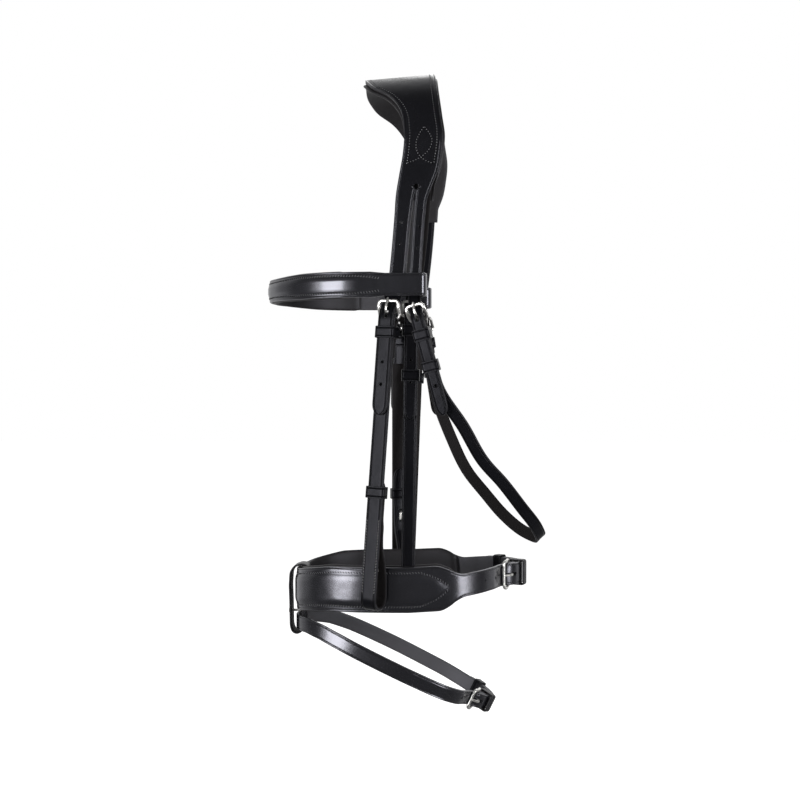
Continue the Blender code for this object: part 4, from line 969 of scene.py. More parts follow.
def buckle(name, seat, joint, body, side="left"):
    """A flat frame with rounded corners; its near side is the bar, its far side bows out over the billet."""
    half = joint.inner_width / 2 + FRAME_BAR / 2
    far = -joint.frame_length
    turn = np.radians(np.linspace(0.0, 90.0, 9))

    def corner(radius, turn):
        return radius * (1 - np.cos(turn)), half - radius + radius * np.sin(turn)

    near_in, near_side = corner(NEAR_CORNER, turn)
    far_in, far_side = corner(FAR_CORNER, turn[::-1])
    down = np.concatenate([[0.0], -near_in, far + far_in, [far]])
    across = np.concatenate([[0.0], near_side, far_side, [0.0]])
    one_side = np.column_stack([down, across])
    outline = np.vstack([one_side, one_side[-2:0:-1] * [1.0, -1.0]])
    outline, _ = walk_flat(outline, step=0.8, ease=0.5, closed=True)
    lift = joint.far_bar * eased(ramp(outline[:, 0], 0.0, far / 1.3))
    centres = seat.at(outline[:, 0], lift, outline[:, 1])
    ahead = unit(np.roll(centres, -1, axis=0) - np.roll(centres, 1, axis=0))
    piece = bar(name, centres, np.cross(ahead, seat.out), FRAME_BAR, FRAME_THICKNESS, side, closed=True)
    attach(piece, body)
    return piece


def tongue(name, seat, joint, body, side="left"):
    """A bar bent round the frame's bar at one end and tapered to a blunt point at the other."""
    rows, left = walk_flat(joint.tongue_path(), step=0.5, ease=0.6)
    wide = np.interp(left, [0.0, 0.4, 1.2, 9.0], [0.6, 1.3, 1.9, 2.3])
    thick = np.interp(left, [0.0, 0.4, 1.2, 9.0, 14.0], [0.5, 1.0, 1.5, PRONG, 1.3])
    piece = bar(name, seat.at(rows[:, 0], rows[:, 1]), seat.across, wide, thick, side)
    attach(piece, body)
    return piece


def sleeve(name, seat, start, length, width, low, high, body, side="left"):
    """A keeper: a band of leather round a stack of straps, with rounded corners and a crease by each edge."""
    radius = KEEPER_CORNER + KEEPER_WALL / 2
    half = width / 2 + GAP + 0.2 + KEEPER_WALL / 2
    bottom, top = low - GAP - KEEPER_WALL / 2, high + GAP + KEEPER_WALL / 2
    turn = np.radians(np.linspace(0.0, 90.0, 7))
    corners = []
    for number, (a, b) in enumerate(((1, 1), (-1, 1), (-1, -1), (1, -1))):
        centre_a = a * (half - radius)
        centre_b = top - radius if b > 0 else bottom + radius
        angle = turn + number * math.pi / 2
        corner = [centre_a + radius * np.cos(angle), centre_b + radius * np.sin(angle)]
        corners.append(np.column_stack(corner))
    loop, _ = walk_flat(np.vstack(corners), step=0.7, ease=0.4, closed=True)
    centres = seat.at(start + length / 2, loop[:, 1], loop[:, 0])
    piece = strap(name, centres, seat.down, length, KEEPER_WALL, 0.5, closed=True, side=side)
    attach(piece, body)
    return piece


def drilled(seat, down, width, length, low, high, closing=1.0):
    """The cutter for a round or long hole through a strap, between two heights out of the seat.

    Closing is the hole's share of its size on the flesh side, where punched leather springs back.
    """
    turn = np.radians(np.arange(24) * 15.0 + 7.5)
    along = np.sign(np.cos(turn)) * (length - width) / 2 + width / 2 * np.cos(turn)
    side = width / 2 * np.sin(turn)
    inner = seat.at(down + closing * along, low, closing * side)
    return np.vstack([inner, seat.at(down + along, high, side)]), ring_faces(2, 24)


def tongue_slot(seat, joint):
    """The cutter for the slot in the fold, through which the tongue turns."""
    reach = joint.fold + joint.leather
    half = HOLE_SIZE / 2 + 0.1
    corners = ((-reach, -half), (-reach, half), (reach * 0.8, half), (reach * 0.8, -half))
    heights = (-reach, joint.fold + joint.leather / 2 + 0.15)
    points = [seat.at(down, out, across) for out in heights for down, across in corners]
    return np.array(points), ring_faces(2, 4)


def billet_hole(seat, joint):
    """The cutter for the long hole in the billet that the tongue stands in."""
    down, high = -0.2 * joint.frame_length, joint.top + joint.leather
    return drilled(seat, down, HOLE_SIZE, BILLET_HOLE_LENGTH, joint.under, high)


def billet(kind, side, seat, joint, flex_x, lap_out=LAP_OUT, length=BILLET_LENGTH):
    """A billet from its skived end on the headpiece's leg, through the buckle, to its point."""
    half = joint.strap_width / 2
    start = [(flex_x, -lap_out, FLEX_Z + rise) for rise in (half + 2.0, half * 0.9, 0.0)]
    path = np.vstack([joint.billet_path(), [(length * 0.4, joint.top), (length, joint.top)]])
    centres = np.vstack([start, seat.at(path[:, 0], path[:, 1])])
    across = np.vstack([[(-1.0, 0.0, 0.0)] * 3, [seat.across] * len(path)])
    thick = np.concatenate([[0.7, SKIVED, SKIVED + 0.1, 2.2], np.full(len(path) - 1, joint.leather)])
    thick = np.minimum(thick, joint.leather)
    rows, left = walk(np.column_stack([centres, across, thick]), ease=1.8, point=True)
    width = pointed(left, joint.strap_width)
    name = f"{kind}_billet_leather_{side}"
    piece = strap(name, rows[:, :3], rows[:, 3:6], width, rows[:, 6], side=side)
    holes = [billet_hole(seat, joint)]
    for k in (2, 3):
        if k * HOLE_SPACING < length - 15.0:
            low, high = joint.top - joint.leather, joint.top + joint.leather
            holes.append(drilled(seat, k * HOLE_SPACING, HOLE_SIZE, HOLE_SIZE, low, high, 0.4))
    punched(piece, holes, side)
    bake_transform(piece)
    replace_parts(piece, f"{kind}_billet_{side}")


def fittings(kind, side, seat, joint, body, runner_at, runner_layers):
    """The buckle, tongue, keeper and runner of one side's joint; the runner holds two layers of leather."""
    metal = buckle(f"{kind}_frame_{side}", seat, joint, body, side)
    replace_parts(metal, f"{kind}_buckle_{side}")
    prong = tongue(f"{kind}_prong_{side}", seat, joint, f"{kind}_tongue_{side}", side)
    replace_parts(prong, f"{kind}_tongue_{side}")
    name = f"{kind}_sewn_keeper_{side}"
    low, high = joint.back - joint.leather / 2 - 0.4, joint.top + joint.leather / 2
    keeper = sleeve(name, seat, KEEPER_AT, KEEPER_LENGTH, joint.strap_width, low, high, body, side)
    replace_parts(keeper, f"{kind}_keeper_{side}")
    name, body = f"{kind}_loose_keeper_{side}", f"{kind}_runner_{side}"
    low, high = runner_layers[0] - joint.leather / 2, runner_layers[1] + joint.leather / 2
    runner = sleeve(name, seat, runner_at, KEEPER_LENGTH, joint.strap_width, low, high, body, side)
    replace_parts(runner, body)


# Cheekpieces: on each side one strap is folded round the buckle's bar, goes down to a wide loop that holds
# the bit, and comes up behind to a point. A hooked steel stud closes the loop through a slot. Its lower
# end is doubled and sewn along both edges.

CHEEK_BAR = (-6.2, -225.0)
CHEEK_WAY = (-15.6, 13.0, -238.0)
CHEEK_TURN = 24.0
CHEEK_SWING = {"left": 0.0, "right": 3.5}
CHEEK_FLEX_X = -2.4
CHEEK_RUNNER = {"left": 150.0, "right": 164.0}
CHEEK = Joint(CHEEK_WIDTH, LEATHER, 15.0)
LOOP_DEPTH = 19.4
LOOP_CENTRE = 258.0 - LOOP_DEPTH / 2
HOOK_AT = 186.0
HOOK_WIDTH = 2.4
HOOK_THICKNESS = 1.1
INNER_TIP = 143.0
END_PLATE = (216.0, 227.0)
END_PLATE_THICKNESS = 0.8
SLOT = {"width": 3.4, "length": 13.0}
CHEEK_STITCH = {"spacing": 2.5, "length": 1.9, "width": 0.9}
CHEEK_SLANT = 28.0
CHEEK_ROW = 5.9


def cheek_seat(side):
    """The place of the buckle's bar, for a strap that swings about the line where its billet flexes."""
    swing = math.tan(math.radians(CHEEK_SWING[side]))
    x, z = CHEEK_BAR
    ahead, outwards, down = CHEEK_WAY
    origin = (x - (z - FLEX_Z) * swing, LAP_OUT + 1.2, z)
    return near_seat(origin, (ahead - down * swing, outwards, down), CHEEK_TURN)


def cheek_back():
    """(down, out) of the strap behind the loop, from the loop's bend up to the stud's slot."""
    face, behind = CHEEK.fold, CHEEK.back
    back = [(LOOP_CENTRE, face - LOOP_DEPTH), (LOOP_CENTRE - 14.0, face - LOOP_DEPTH + 1.9)]
    back += [(LOOP_CENTRE - 30.0, face - LOOP_DEPTH * 0.66), (LOOP_CENTRE - 44.0, behind - 3.4)]
    back += [(HOOK_AT + 10.0, behind - 2.0), (HOOK_AT, behind - 1.8)]
    return smooth(np.column_stack([back, np.zeros(len(back))]), 40)[1:, :2]


def cheek_strap(side, seat, body):
    """The strap from the folded end at the buckle, round the loop, to the point behind."""
    behind = CHEEK.back
    bend = arc(LOOP_DEPTH / 2, 0.0, 180.0, 40) + [LOOP_CENTRE, CHEEK.fold - LOOP_DEPTH / 2]
    end = [(HOOK_AT - 4.5, behind - 0.6), (HOOK_AT - 7.5, behind), (INNER_TIP, behind)]
    rows, left = walk_flat(np.vstack([CHEEK.fold_path(36.0), bend, cheek_back(), end]), point=True)
    width = pointed(left, CHEEK_WIDTH)
    centres = seat.at(rows[:, 0], rows[:, 1])
    piece = strap(f"cheek_leather_{side}", centres, seat.across, width, LEATHER, side=side)
    slot = drilled(seat, HOOK_AT + 5.0, low=behind - 5.5, high=behind + 0.6, **SLOT)
    punched(piece, [tongue_slot(seat, CHEEK), slot], side)
    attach(piece, body)
    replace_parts(piece, body)
    down = np.linspace(HOOK_AT - 7.0, LOOP_CENTRE - 4.0, 50)
    for label, sign in (("front", 1.0), ("rear", -1.0)):
        path = seat.at(down, CHEEK.fold + LEATHER / 2, sign * CHEEK_ROW)
        name = f"cheek_stitch_{label}_{side}"
        seam = stitches(name, path, seat.out, slant=sign * CHEEK_SLANT, side=side, **CHEEK_STITCH)
        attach(seam, body)


def cheek_stud(side, seat, body):
    """The hooked stud: a plate between the layers, a bend through the slot and a hook, and its end plate."""
    plate = CHEEK.fold - LEATHER / 2 - GAP - 0.6
    inside = CHEEK.back - 1.8 - LEATHER / 2
    hook = [(10.0, plate), (3.0, plate), (1.3, plate - 0.5), (0.6, plate - 1.6), (0.6, inside - 0.2)]
    hook += [(1.4, inside - 1.5), (3.4, inside - 2.0), (9.5, inside - 1.5)]
    hook, _ = walk_flat(hook + np.array([HOOK_AT, 0.0]), step=0.4, ease=0.5)
    centres = seat.at(hook[:, 0], hook[:, 1])
    stud = bar(f"cheek_hook_{side}", centres, seat.across, HOOK_WIDTH, HOOK_THICKNESS, side)
    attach(stud, body)
    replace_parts(stud, f"hook_stud_{side}")
    back = cheek_back()
    start, stop = END_PLATE
    lying = back[(back[:, 0] > start) & (back[:, 0] < stop)] + [0.0, LEATHER / 2 + 0.3]
    centres = seat.at(lying[:, 0], lying[:, 1])
    name = f"cheek_plate_{side}"
    end_plate = bar(name, centres, seat.across, HOOK_WIDTH, END_PLATE_THICKNESS, side)
    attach(end_plate, body)


def cheekpiece(side):
    """The strap, its stud, its billet and its fittings on one side."""
    seat, body = cheek_seat(side), f"cheekpiece_{side}"
    cheek_strap(side, seat, body)
    cheek_stud(side, seat, body)
    billet("cheek", side, seat, CHEEK, CHEEK_FLEX_X)
    fittings("cheek", side, seat, CHEEK, body, CHEEK_RUNNER[side], (CHEEK.back, CHEEK.fold))


for side in ("left", "right"):
    cheekpiece(side)


# Throatlatch: one narrow strap in a U, folded round a buckle's bar at each end and hung back under the
# jaw. It buckles on both sides to billets from the headpiece's rear legs.

THROAT_FLEX_X = 15.8
THROAT = Joint(THROAT_WIDTH, LEATHER, 13.5)
THROAT_LEAN = {"left": 0.267, "right": 0.155}
THROAT_SEAT = {
    side: near_seat((20.6, 74.1, -227.0), (lean, -0.05, -0.964), 14.0) for side, lean in THROAT_LEAN.items()
}
THROAT_HANG = (
    (59.9, -66.0, 117.3, -0.90, 0.30, -0.32),
    (77.0, -58.0, 147.1, -0.86, 0.30, -0.40),
    (94.7, -47.0, 167.4, -0.82, 0.28, -0.48),
    (112.2, -33.0, 190.5, -0.78, 0.22, -0.56),
    (127.6, -15.0, 211.7, -0.73, 0.08, -0.66),
    (131.5, 1.0, 222.8, -0.70, 0.00, -0.70),
    (117.0, 17.0, 218.7, -0.68, -0.10, -0.70),
    (98.8, 33.0, 205.1, -0.74, -0.22, -0.60),
    (80.8, 47.0, 185.2, -0.82, -0.28, -0.48),
    (62.6, 58.0, 162.9, -0.88, -0.30, -0.38),
    (46.8, 66.0, 130.8, -0.92, -0.30, -0.32),
)


def throat_end(seat):
    """The folded end at a buckle, as rows of a place and the way across."""
    fold = THROAT.fold
    down, out = np.vstack([THROAT.fold_path(24.0), [(30.0, fold), (46.0, fold), (58.0, fold)]]).T
    return np.column_stack([seat.at(down, out), np.tile(seat.across, (len(down), 1))])


def throatlatch():
    """The strap from the near buckle, through the places of THROAT_HANG, to the far one.

    Each of those is x, y, the drop below the billets' bend and the way across.
    """
    near = throat_end(THROAT_SEAT["left"])
    far = (throat_end(THROAT_SEAT["right"]) * [1, -1, 1, 1, -1, 1])[::-1]
    hang = np.array(THROAT_HANG)
    hang[:, 2] = FLEX_Z - hang[:, 2]
    free = smooth(np.vstack([near[-2:], hang, far[:2]]), 200)
    for end in (near[-2], far[1]):
        free = free[np.linalg.norm(free[:, :3] - end[:3], axis=1) > 13.0]
    rows, _ = walk(np.vstack([near, free, far]))
    piece = strap("throatlatch_leather", rows[:, :3], rows[:, 3:], THROAT_WIDTH, LEATHER)
    cutter, faces = tongue_slot(THROAT_SEAT["left"], THROAT)
    far_cutter, _ = tongue_slot(THROAT_SEAT["right"], THROAT)
    punched(piece, [(cutter, faces), (mirrored(far_cutter), faces)])
    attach(piece, "throatlatch")
    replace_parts(piece, "throatlatch")


throatlatch()
for side, seat in THROAT_SEAT.items():
    billet("throat", side, seat, THROAT, THROAT_FLEX_X)
    fittings("throat", side, seat, THROAT, "throatlatch", 37.0, (THROAT.fold, THROAT.top))


# Noseband hangers: a thin strap on each side, buckled to the headstrap's end under the browband and sewn
# in between the noseband's leather and its pad at the lower end.

HANGER_FLEX_X = 14.6
HANGER_END = 236.5
HANGER = Joint(HANGER_WIDTH, THIN_LEATHER, 12.5)
HANGER_LEAN = {"left": -3.6, "right": -8.6}
HANGER_SEAT = {
    side: near_seat((13.0, 59.4, -222.0), (lean, -6.9, -233.0)) for side, lean in HANGER_LEAN.items()
}
HANGER_LAP_OUT = POLL_HALF_WIDTH - 3 * GAP - THIN_LEATHER - SKIVED / 2
HANGER_BILLET = 94.0


def hanger(side, seat):
    """The strap from its buckle down into the noseband, on one side."""
    rows, _ = walk_flat(np.vstack([HANGER.fold_path(24.0), [(HANGER_END, HANGER.fold)]]))
    centres = seat.at(rows[:, 0], rows[:, 1])
    piece = strap(f"hanger_leather_{side}", centres, seat.across, HANGER_WIDTH, THIN_LEATHER, side=side)
    punched(piece, [tongue_slot(seat, HANGER)], side)
    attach(piece, "noseband")
    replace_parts(piece, f"hanger_{side}")


for side, seat in HANGER_SEAT.items():
    hanger(side, seat)
    billet("hanger", side, seat, HANGER, HANGER_FLEX_X, HANGER_LAP_OUT, HANGER_BILLET)
    fittings("hanger", side, seat, HANGER, "noseband", 48.5, (HANGER.fold, HANGER.top))


# Noseband: a band round the nose, wide and raised in front and narrow behind, where it is folded round a
# buckle's bar and laps itself. Rows of slanted thread hold its padding and meet in a pointed arch on
# each side, and a full soft pad lines it.

NOSEBAND_HEIGHT = 40.5
NOSEBAND_STRAP = 20.5
NOSEBAND_LEATHER = 3.2
NOSEBAND_LINING = 5.0
NOSEBAND_SWELL = 1.6
NOSE_TAIL = 70.0
NOSE_SLANT = 55.0
NOSE_MARGIN = 5.4
SEAM_OUTSIDE = 0.3
NOSE_ARCH_TIP = 47.0
NOSE_LINED = 54.0
NOSE_PLAN = [(105.0, -1.0), (109.4, 5.6), (111.6, 12.0), (109.4, 20.5), (101.0, 32.0), (86.0, 43.5)]
NOSE_PLAN += [(61.0, 53.0), (25.0, 59.0), (-15.0, 59.3), (-50.0, 54.5), (-79.0, 39.0), (-93.5, 21.0)]
NOSE_PLAN += [(-98.2, 0.0), (-93.5, -21.0), (-79.0, -39.0), (-50.0, -54.5), (-15.0, -59.3)]
NOSE_PLAN += [(25.0, -59.0), (56.0, -54.5), (75.0, -43.0), (87.0, -29.0), (94.0, -17.6), (98.8, -10.3)]
NOSE_HEIGHTS = [(-98.2, -477.0), (-85.0, -473.5), (-60.0, -469.8), (10.0, -469.0), (34.0, -467.6)]
NOSE_HEIGHTS += [(60.0, -465.3), (85.0, -462.5), (105.0, -462.0)]
RING_POINTS = 800
RING_KEEPER = 7.6
RING_RUNNER = 8.0
ONCE_ROUND = 4.0


class Ring:
    """A closed curve in plan with its height, measured from the buckle's bar along the far side."""

    def __init__(self, plan, heights, across_at):
        plan = np.asarray(plan, float)
        closed = np.vstack([plan[-2:], plan, plan[:2]])
        rows = smooth(np.column_stack([closed, np.zeros(len(closed))]), RING_POINTS)[:, :2]
        from_bar = np.linalg.norm(rows - plan[0], axis=1)
        quarter = RING_POINTS // 4
        start = np.argmin(from_bar[:quarter])
        stop = RING_POINTS - quarter + np.argmin(from_bar[-quarter:])
        plan = rows[start : stop + 1]
        self.points = np.column_stack([plan, np.interp(plan[:, 0], *np.transpose(heights))])
        self.reach = distances(self.points)
        self.length = self.reach[-1]
        self.across_at = across_at

    def at(self, reach, out=0.0):
        """World points and the way across, at distances round the ring, moved out of its curve."""
        reach = np.asarray(reach, float)
        spots = [np.mod(reach + shift, self.length) for shift in (0.0, 1.0, -1.0)]
        point, ahead, behind = [looked_up(spot, self.reach, self.points) for spot in spots]
        across = self.across_at(point[:, 0])
        outwards = unit(np.cross(unit(ahead - behind), across))
        return point + outwards * np.broadcast_to(out, len(reach))[:, None], across

    def seat(self, reach, drop):
        """A seat at a distance round the ring, its origin moved in by the drop."""
        point, across = self.at([reach])
        before, _ = self.at([reach - 1.5])
        after, _ = self.at([reach + 1.5])
        down = unit(after[0] - before[0])
        out = np.cross(down, across[0])
        return Seat(point[0] - unit(out) * drop, down, out)


def ring_rows(ring, joint, tail, width_at):
    """Rows of a place, the way across and the width, for a strap on a ring: folded round its bar, once
    round, over the bar and on outside to its point. Only the layer that goes once round has its own width."""
    seat = ring.seat(0.0, joint.fold)
    fold, over = joint.fold_path(0.0)[2:-1], joint.billet_path()[:-1]
    far = ring.length - joint.frame_length - 18.0
    once, once_across = ring.at(np.arange(ONCE_ROUND, far, 1.0))
    lapped = np.arange(ONCE_ROUND, tail + 0.5, 1.0)
    parts = [
        (*ring.at([13.0, 8.5], joint.back - joint.fold), joint.strap_width),
        (seat.at(fold[:, 0], fold[:, 1]), [-seat.across] * len(fold), joint.strap_width),
        (once, once_across, width_at(once)),
        (*ring.at([far + 11.0], 0.9 * (joint.under - joint.fold)), joint.strap_width),
        (seat.at(over[:, 0], over[:, 1]), [-seat.across] * len(over), joint.strap_width),
        (*ring.at(lapped, joint.top - joint.fold), joint.strap_width),
    ]
    rows = [
        np.column_stack([points, np.negative(ways), np.broadcast_to(width, len(points))])
        for points, ways, width in parts
    ]
    return walk(np.vstack(rows), step=1.5, point=True)


def ring_strap(name, ring, joint, tail, width_at, body, swell=None):
    """A strap on a ring, punched for its tongue, with two more holes on the layer below the point."""
    rows, left = ring_rows(ring, joint, tail, width_at)
    at_point = np.where(left > POINT_LENGTH, np.inf, pointed(left, joint.strap_width))
    width = np.minimum(rows[:, 6], at_point)

    def raised(a):
        return swell(rows[:, :3], a, width)

    swelling = raised if swell else None
    piece = strap(name, rows[:, :3], rows[:, 3:6], width, joint.leather, raised=swelling, finish=BAND)
    seat = ring.seat(0.0, joint.fold)
    holes = [tongue_slot(seat, joint), billet_hole(seat, joint)]
    for k in (1, 2):
        spot = ring.seat(ring.length - joint.frame_length - k * HOLE_SPACING * 0.8, 0.0)
        holes.append(drilled(spot, 0.0, HOLE_SIZE, HOLE_SIZE, -joint.leather, joint.leather, 0.3))
    punched(piece, holes)
    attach(piece, body)
    return piece


def ring_fittings(prefix, ring, joint, body, keeper_at, runner_at):
    """The metal and the keepers on a ring strap's buckle.

    A sleeve is straight and the ring isn't, so each has some room below and above its layers.
    """
    seat = ring.seat(0.0, joint.fold)
    seat.across = -seat.across
    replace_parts(buckle(f"{prefix}_frame", seat, joint, body), f"{prefix}_buckle")
    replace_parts(tongue(f"{prefix}_prong", seat, joint, f"{prefix}_tongue"), f"{prefix}_tongue")
    half = joint.leather / 2
    low, high = joint.back - half - 1.6, joint.top + half + 1.3
    spot = ring.seat(keeper_at, joint.fold)
    name = f"{prefix}_sewn_keeper"
    keeper = sleeve(name, spot, -RING_KEEPER / 2, RING_KEEPER, joint.strap_width, low, high, body)
    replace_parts(keeper, f"{prefix}_keeper")
    low, high = joint.fold - half - 0.9, joint.top + half + 0.6
    spot = ring.seat(runner_at, joint.fold)
    name = f"{prefix}_loose_keeper"
    runner = sleeve(name, spot, -RING_RUNNER / 2, RING_RUNNER, joint.strap_width, low, high, body)
    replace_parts(runner, f"{prefix}_runner")


def upright(x):
    """The noseband stands upright all round."""
    return np.tile([0.0, 0.0, 1.0], (len(x), 1))


def nose_width(points):
    """The noseband's height: wide round the nose and narrow behind, with a short swell between."""
    x = points[:, 0]
    more = (NOSEBAND_HEIGHT - NOSEBAND_STRAP) * eased(ramp(x, 62.0, 35.0))
    return NOSEBAND_STRAP + more - 2.0 * ramp(x, -60.0, -100.0)


def arch_half(x, width):
    """Half the height of the stitched field: a margin inside the edges, closing in a pointed arch behind."""
    return (width / 2 - NOSE_MARGIN) * ramp(x, NOSE_ARCH_TIP, NOSE_ARCH_TIP - 26.0) ** 0.62


def nose_swell(points, a, width):
    """How far the face swells inside the stitched field, on the layer that goes once round."""
    half = arch_half(points[:, 0], width)[:, None]
    share = ramp(half - np.abs(a), 0.0, 6.0)
    return NOSEBAND_SWELL * share * (2.0 - share) * ramp(half, 0.0, 9.0)


def noseband():
    """The band with its buckle, the thread along its raised field, and the pad inside it."""
    ring = Ring(NOSE_PLAN, NOSE_HEIGHTS, upright)
    joint = Joint(NOSEBAND_STRAP, NOSEBAND_LEATHER, 15.0)
    piece = ring_strap("noseband_leather", ring, joint, NOSE_TAIL, nose_width, "noseband", nose_swell)
    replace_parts(piece, "noseband")
    ring_fittings("noseband", ring, joint, "noseband", 11.0, 48.0)
    around = np.arange(0.0, ring.length, 0.8)
    centre, across = ring.at(around, NOSEBAND_LEATHER / 2)
    _, _, out = frames(centre, -across)
    half = arch_half(centre[:, 0], nose_width(centre))[:, None] + SEAM_OUTSIDE
    sewn = centre[:, 0] < NOSE_ARCH_TIP - 0.8
    for label, sign in (("top", 1.0), ("bottom", -1.0)):
        path = (centre + sign * half * across)[sewn]
        name = f"noseband_stitch_{label}"
        seam = stitches(name, path, out[sewn], slant=-sign * NOSE_SLANT, **SLANTED_STITCH)
        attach(seam, "noseband")
    centre, across = ring.at(around, -NOSEBAND_LEATHER / 2 - GAP - NOSEBAND_LINING / 2)
    lined = centre[:, 0] < NOSE_LINED
    centre, across = centre[lined], across[lined]
    width = nose_width(centre) + 2.6
    pad = padding("noseband_pad", centre, -across, width, NOSEBAND_LINING, fullness=0.8)
    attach(pad, "noseband")
    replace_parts(pad, "noseband_lining")


noseband()


# Flash: a long loop of leather with a stud hangs on the noseband's front, and carries a narrow strap that
# closes under the chin with its own buckle and keepers.

FLASH_WIDTH = 14.0
FLASH_TAIL = 60.0
FLASH_LEATHER = 2.8
FLASH_LOOP_WIDTH = 18.0
FLASH_LOOP_LEATHER = 1.8
FLASH_LEAN = 26.0
FLASH_PLAN = [(73.6, -4.8), (79.6, 4.1), (82.0, 11.5), (79.6, 20.5), (71.0, 31.0), (52.0, 41.0), (15.0, 48.0)]
FLASH_PLAN += [(-20.0, 49.5), (-54.0, 44.5), (-81.0, 31.0), (-94.6, 15.5), (-99.2, 0.0), (-94.6, -15.5)]
FLASH_PLAN += [(-81.0, -31.0), (-54.0, -44.5), (-20.0, -49.5), (15.0, -48.5), (44.0, -41.5), (57.0, -29.5)]
FLASH_PLAN += [(63.3, -20.1), (68.5, -12.4)]
FLASH_HEIGHTS = [(-99.2, -508.5), (-86.0, -508.8), (-72.0, -512.5), (-53.0, -520.5), (-7.0, -542.0)]
FLASH_HEIGHTS += [(38.0, -563.5), (90.0, -589.5)]
FLASH_FRONT = -99.2
FLASH_LOOP = [(3.5, -454.4), (-2.5, -456.6), (-6.1, -462.0), (-6.9, -475.0), (-6.3, -490.0), (-6.1, -503.0)]
FLASH_LOOP += [(-5.9, -513.0), (-4.2, -518.6), (0.0, -520.4), (4.2, -518.6), (6.8, -513.0), (7.1, -503.0)]
FLASH_LOOP += [(7.6, -498.6), (11.5, -494.6), (12.1, -485.0), (12.1, -466.0), (11.5, -458.8), (8.9, -455.2)]
STUD_Z = -499.4
STUD_HOLE = 3.0
STUD_PROFILE = [(-8.3, 0.9), (-8.2, 1.2), (7.3, 1.2), (7.4, 2.7), (7.6, 2.95), (8.1, 2.8), (8.6, 2.2)]
STUD_PROFILE += [(8.9, 1.2), (9.0, 0.3)]


def leaning(x):
    """The flash strap is upright in its loop and leans back along the sides."""
    lean = np.radians(FLASH_LEAN) * ramp(x, -95.0, -55.0)
    return np.column_stack([np.sin(lean), np.zeros(len(lean)), np.cos(lean)])


def flash_width(points):
    """The flash strap is as wide all round."""
    return np.full(len(points), FLASH_WIDTH)


def flash_strap():
    """The narrow strap with its buckle and keepers."""
    ring = Ring(FLASH_PLAN, FLASH_HEIGHTS, leaning)
    joint = Joint(FLASH_WIDTH, FLASH_LEATHER, 14.0)
    piece = ring_strap("flash_leather", ring, joint, FLASH_TAIL, flash_width, "flash_strap")
    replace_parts(piece, "flash_strap")
    ring_fittings("flash", ring, joint, "flash_strap", 10.5, 42.0)


def flash_loop(seat):
    """The long loop round the noseband and the flash strap, through points (ahead, height)."""
    x, z = np.transpose(FLASH_LOOP)
    loop = np.column_stack([x + FLASH_FRONT, np.zeros(len(x)), z])
    loop, _ = walk(loop, step=1.0, ease=1.6, closed=True)
    sideways, size = (0.0, 1.0, 0.0), (FLASH_LOOP_WIDTH, FLASH_LOOP_LEATHER)
    piece = strap("flash_loop_leather", loop, sideways, *size, edge_round=0.7, closed=True)
    punched(piece, [drilled(seat, 0.0, STUD_HOLE, STUD_HOLE, -9.0, 9.0)])
    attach(piece, "noseband")
    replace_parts(piece, "flash_loop")


def flash_stud(seat):
    """The stud through the loop, turned to a profile of (out, radius)."""
    turn = np.radians(np.arange(32) * 11.25)
    rings = [seat.at(radius * np.cos(turn), out, radius * np.sin(turn)) for out, radius in STUD_PROFILE]
    stud = solid("flash_stud_steel", np.vstack(rings), ring_faces(len(rings), len(turn)), STEEL)
    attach(stud, "noseband")
    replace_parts(stud, "flash_stud")


stud_seat = Seat((FLASH_FRONT, 0.0, STUD_Z), (0.0, 0.0, -1.0), (-1.0, 0.0, 0.0))
flash_strap()
flash_loop(stud_seat)
flash_stud(stud_seat)


# Studio: a pale floor below the hanging bridle, a white surround, two tall soft lights, one on each side of
# the camera, whose reflections run down the straps, and a weak one behind and above.

FLOOR_Z = -0.80
FLOOR_HALF = 12.0
EVEN_LIGHT = 0.35
LAMP_Z = -0.27
LAMP_HEIGHT = 0.95


def dim_in_front(tree, back, rate):
    """What reflections see: white behind the bridle, fading to a dim room on the camera's side."""
    share = math_node(tree, "MULTIPLY_ADD", back, rate, 0.25)
    return math_node(tree, "MINIMUM", math_node(tree, "MAXIMUM", share, 0.14), 1.0)


def stage_floor():
    """A wide floor: it keeps the shadow that falls on it, and reflections see it white only behind."""
    mesh = bpy.data.meshes.new("floor")
    corners = [(FLOOR_HALF * a, FLOOR_HALF * b, FLOOR_Z) for a, b in ((-1, -1), (1, -1), (1, 1), (-1, 1))]
    mesh.from_pydata(corners, [], [(0, 1, 2, 3)])
    material, tree, shader = shaded("pale_floor", roughness=0.9, specular=0.0)
    shader.inputs["Base Color"].default_value = (0.86, 0.86, 0.86, 1.0)
    rays = tree.nodes.new("ShaderNodeLightPath").outputs
    seen = math_node(tree, "MAXIMUM", rays["Is Camera Ray"], rays["Is Transmission Ray"])
    glow = tree.nodes.new("ShaderNodeEmission")
    tree.links.new(math_node(tree, "MULTIPLY", seen, 0.74), glow.inputs["Strength"])
    both = tree.nodes.new("ShaderNodeAddShader")
    tree.links.new(shader.outputs["BSDF"], both.inputs[0])
    tree.links.new(glow.outputs["Emission"], both.inputs[1])
    place = tree.nodes.new("ShaderNodeSeparateXYZ")
    tree.links.new(coordinates(tree), place.inputs["Vector"])
    image = tree.nodes.new("ShaderNodeEmission")
    tree.links.new(dim_in_front(tree, place.outputs["Y"], 0.7), image.inputs["Strength"])
    choice = tree.nodes.new("ShaderNodeMixShader")
    tree.links.new(rays["Is Glossy Ray"], choice.inputs["Fac"])
    tree.links.new(both.outputs["Shader"], choice.inputs[1])
    tree.links.new(image.outputs["Emission"], choice.inputs[2])
    tree.links.new(choice.outputs["Shader"], tree.nodes["Material Output"].inputs["Surface"])
    mesh.materials.append(material)
    floor = bpy.data.objects.new("floor", mesh)
    bpy.context.scene.collection.objects.link(floor)


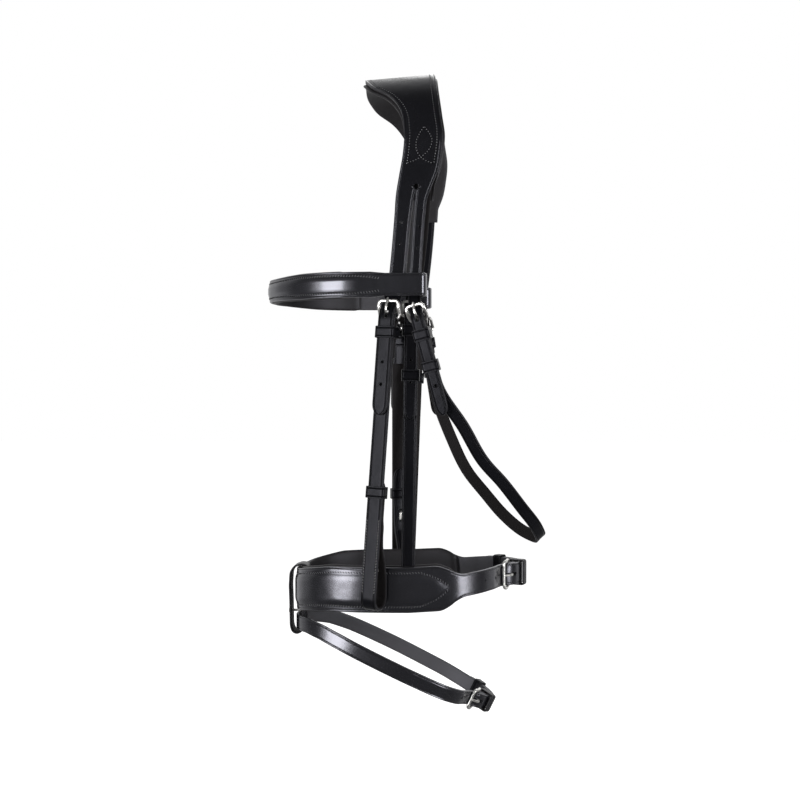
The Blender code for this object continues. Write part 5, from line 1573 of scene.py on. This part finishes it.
def surround():
    """White to the camera and through glass, a weaker even light on the bridle, and for reflections white
    behind the bridle, fading to a dim room in front of it."""
    world = bpy.data.worlds.new("surround")
    bpy.context.scene.world = world
    world.use_nodes = True
    tree = world.node_tree
    rays = tree.nodes.new("ShaderNodeLightPath").outputs
    way = tree.nodes.new("ShaderNodeSeparateXYZ")
    tree.links.new(coordinates(tree, "Generated"), way.inputs["Vector"])
    behind = dim_in_front(tree, way.outputs["Y"], 1.4)
    plain = math_node(tree, "MAXIMUM", rays["Is Camera Ray"], rays["Is Transmission Ray"])
    strength = math_node(tree, "MULTIPLY_ADD", plain, 1.0 - EVEN_LIGHT, EVEN_LIGHT)
    more = math_node(tree, "SUBTRACT", behind, EVEN_LIGHT)
    strength = math_node(tree, "MULTIPLY_ADD", rays["Is Glossy Ray"], more, strength)
    tree.links.new(strength, tree.nodes["Background"].inputs["Strength"])
    tree.nodes["Background"].inputs["Color"].default_value = (1.0, 1.0, 1.0, 1.0)


def soft_light(name, place, aim, width, height, power):
    """An oblong lamp at a place, turned to its aim."""
    lamp = bpy.data.lights.new(name, "AREA")
    lamp.shape = "RECTANGLE"
    lamp.size = width
    lamp.size_y = height
    lamp.energy = power
    holder = bpy.data.objects.new(name, lamp)
    bpy.context.scene.collection.objects.link(holder)
    way = unit(np.array(place) - np.array(aim))
    right = unit(np.cross((0.0, 0.0, 1.0), way))
    up = np.cross(way, right)
    for row in range(3):
        for column, vector in enumerate((right, up, way)):
            holder.matrix_world[row][column] = vector[row]
        holder.matrix_world[row][3] = place[row]


stage_floor()
surround()
soft_light("key", (-1.0, -1.25, LAMP_Z), (0.0, 0.0, LAMP_Z), 0.68, LAMP_HEIGHT, 26.0)
soft_light("fill", (1.19, -1.07, LAMP_Z), (0.0, 0.0, LAMP_Z), 0.46, LAMP_HEIGHT, 19.0)
soft_light("rim", (0.4, 1.5, 0.9), (0.0, 0.0, -0.3), 1.0, 1.0, 8.0)

# Camera: level with the bridle's middle and a little behind square to it, as in the photograph. It looks
# at the near side, and its colours are shown as they are.

AZIMUTH = math.radians(3.5)
AIM = np.array([-0.0012, 0.0, -0.298])
DISTANCE = 1.05
camera = bpy.data.objects.new("camera", bpy.data.cameras.new("camera"))
bpy.context.scene.collection.objects.link(camera)
camera.location = AIM + DISTANCE * np.array([math.sin(AZIMUTH), -math.cos(AZIMUTH), 0.0])
camera.rotation_euler = (math.radians(90.0), 0.0, AZIMUTH)
camera.data.lens = 49.5
camera.data.clip_start = 0.05
bpy.context.scene.camera = camera
bpy.context.scene.view_settings.view_transform = "Standard"
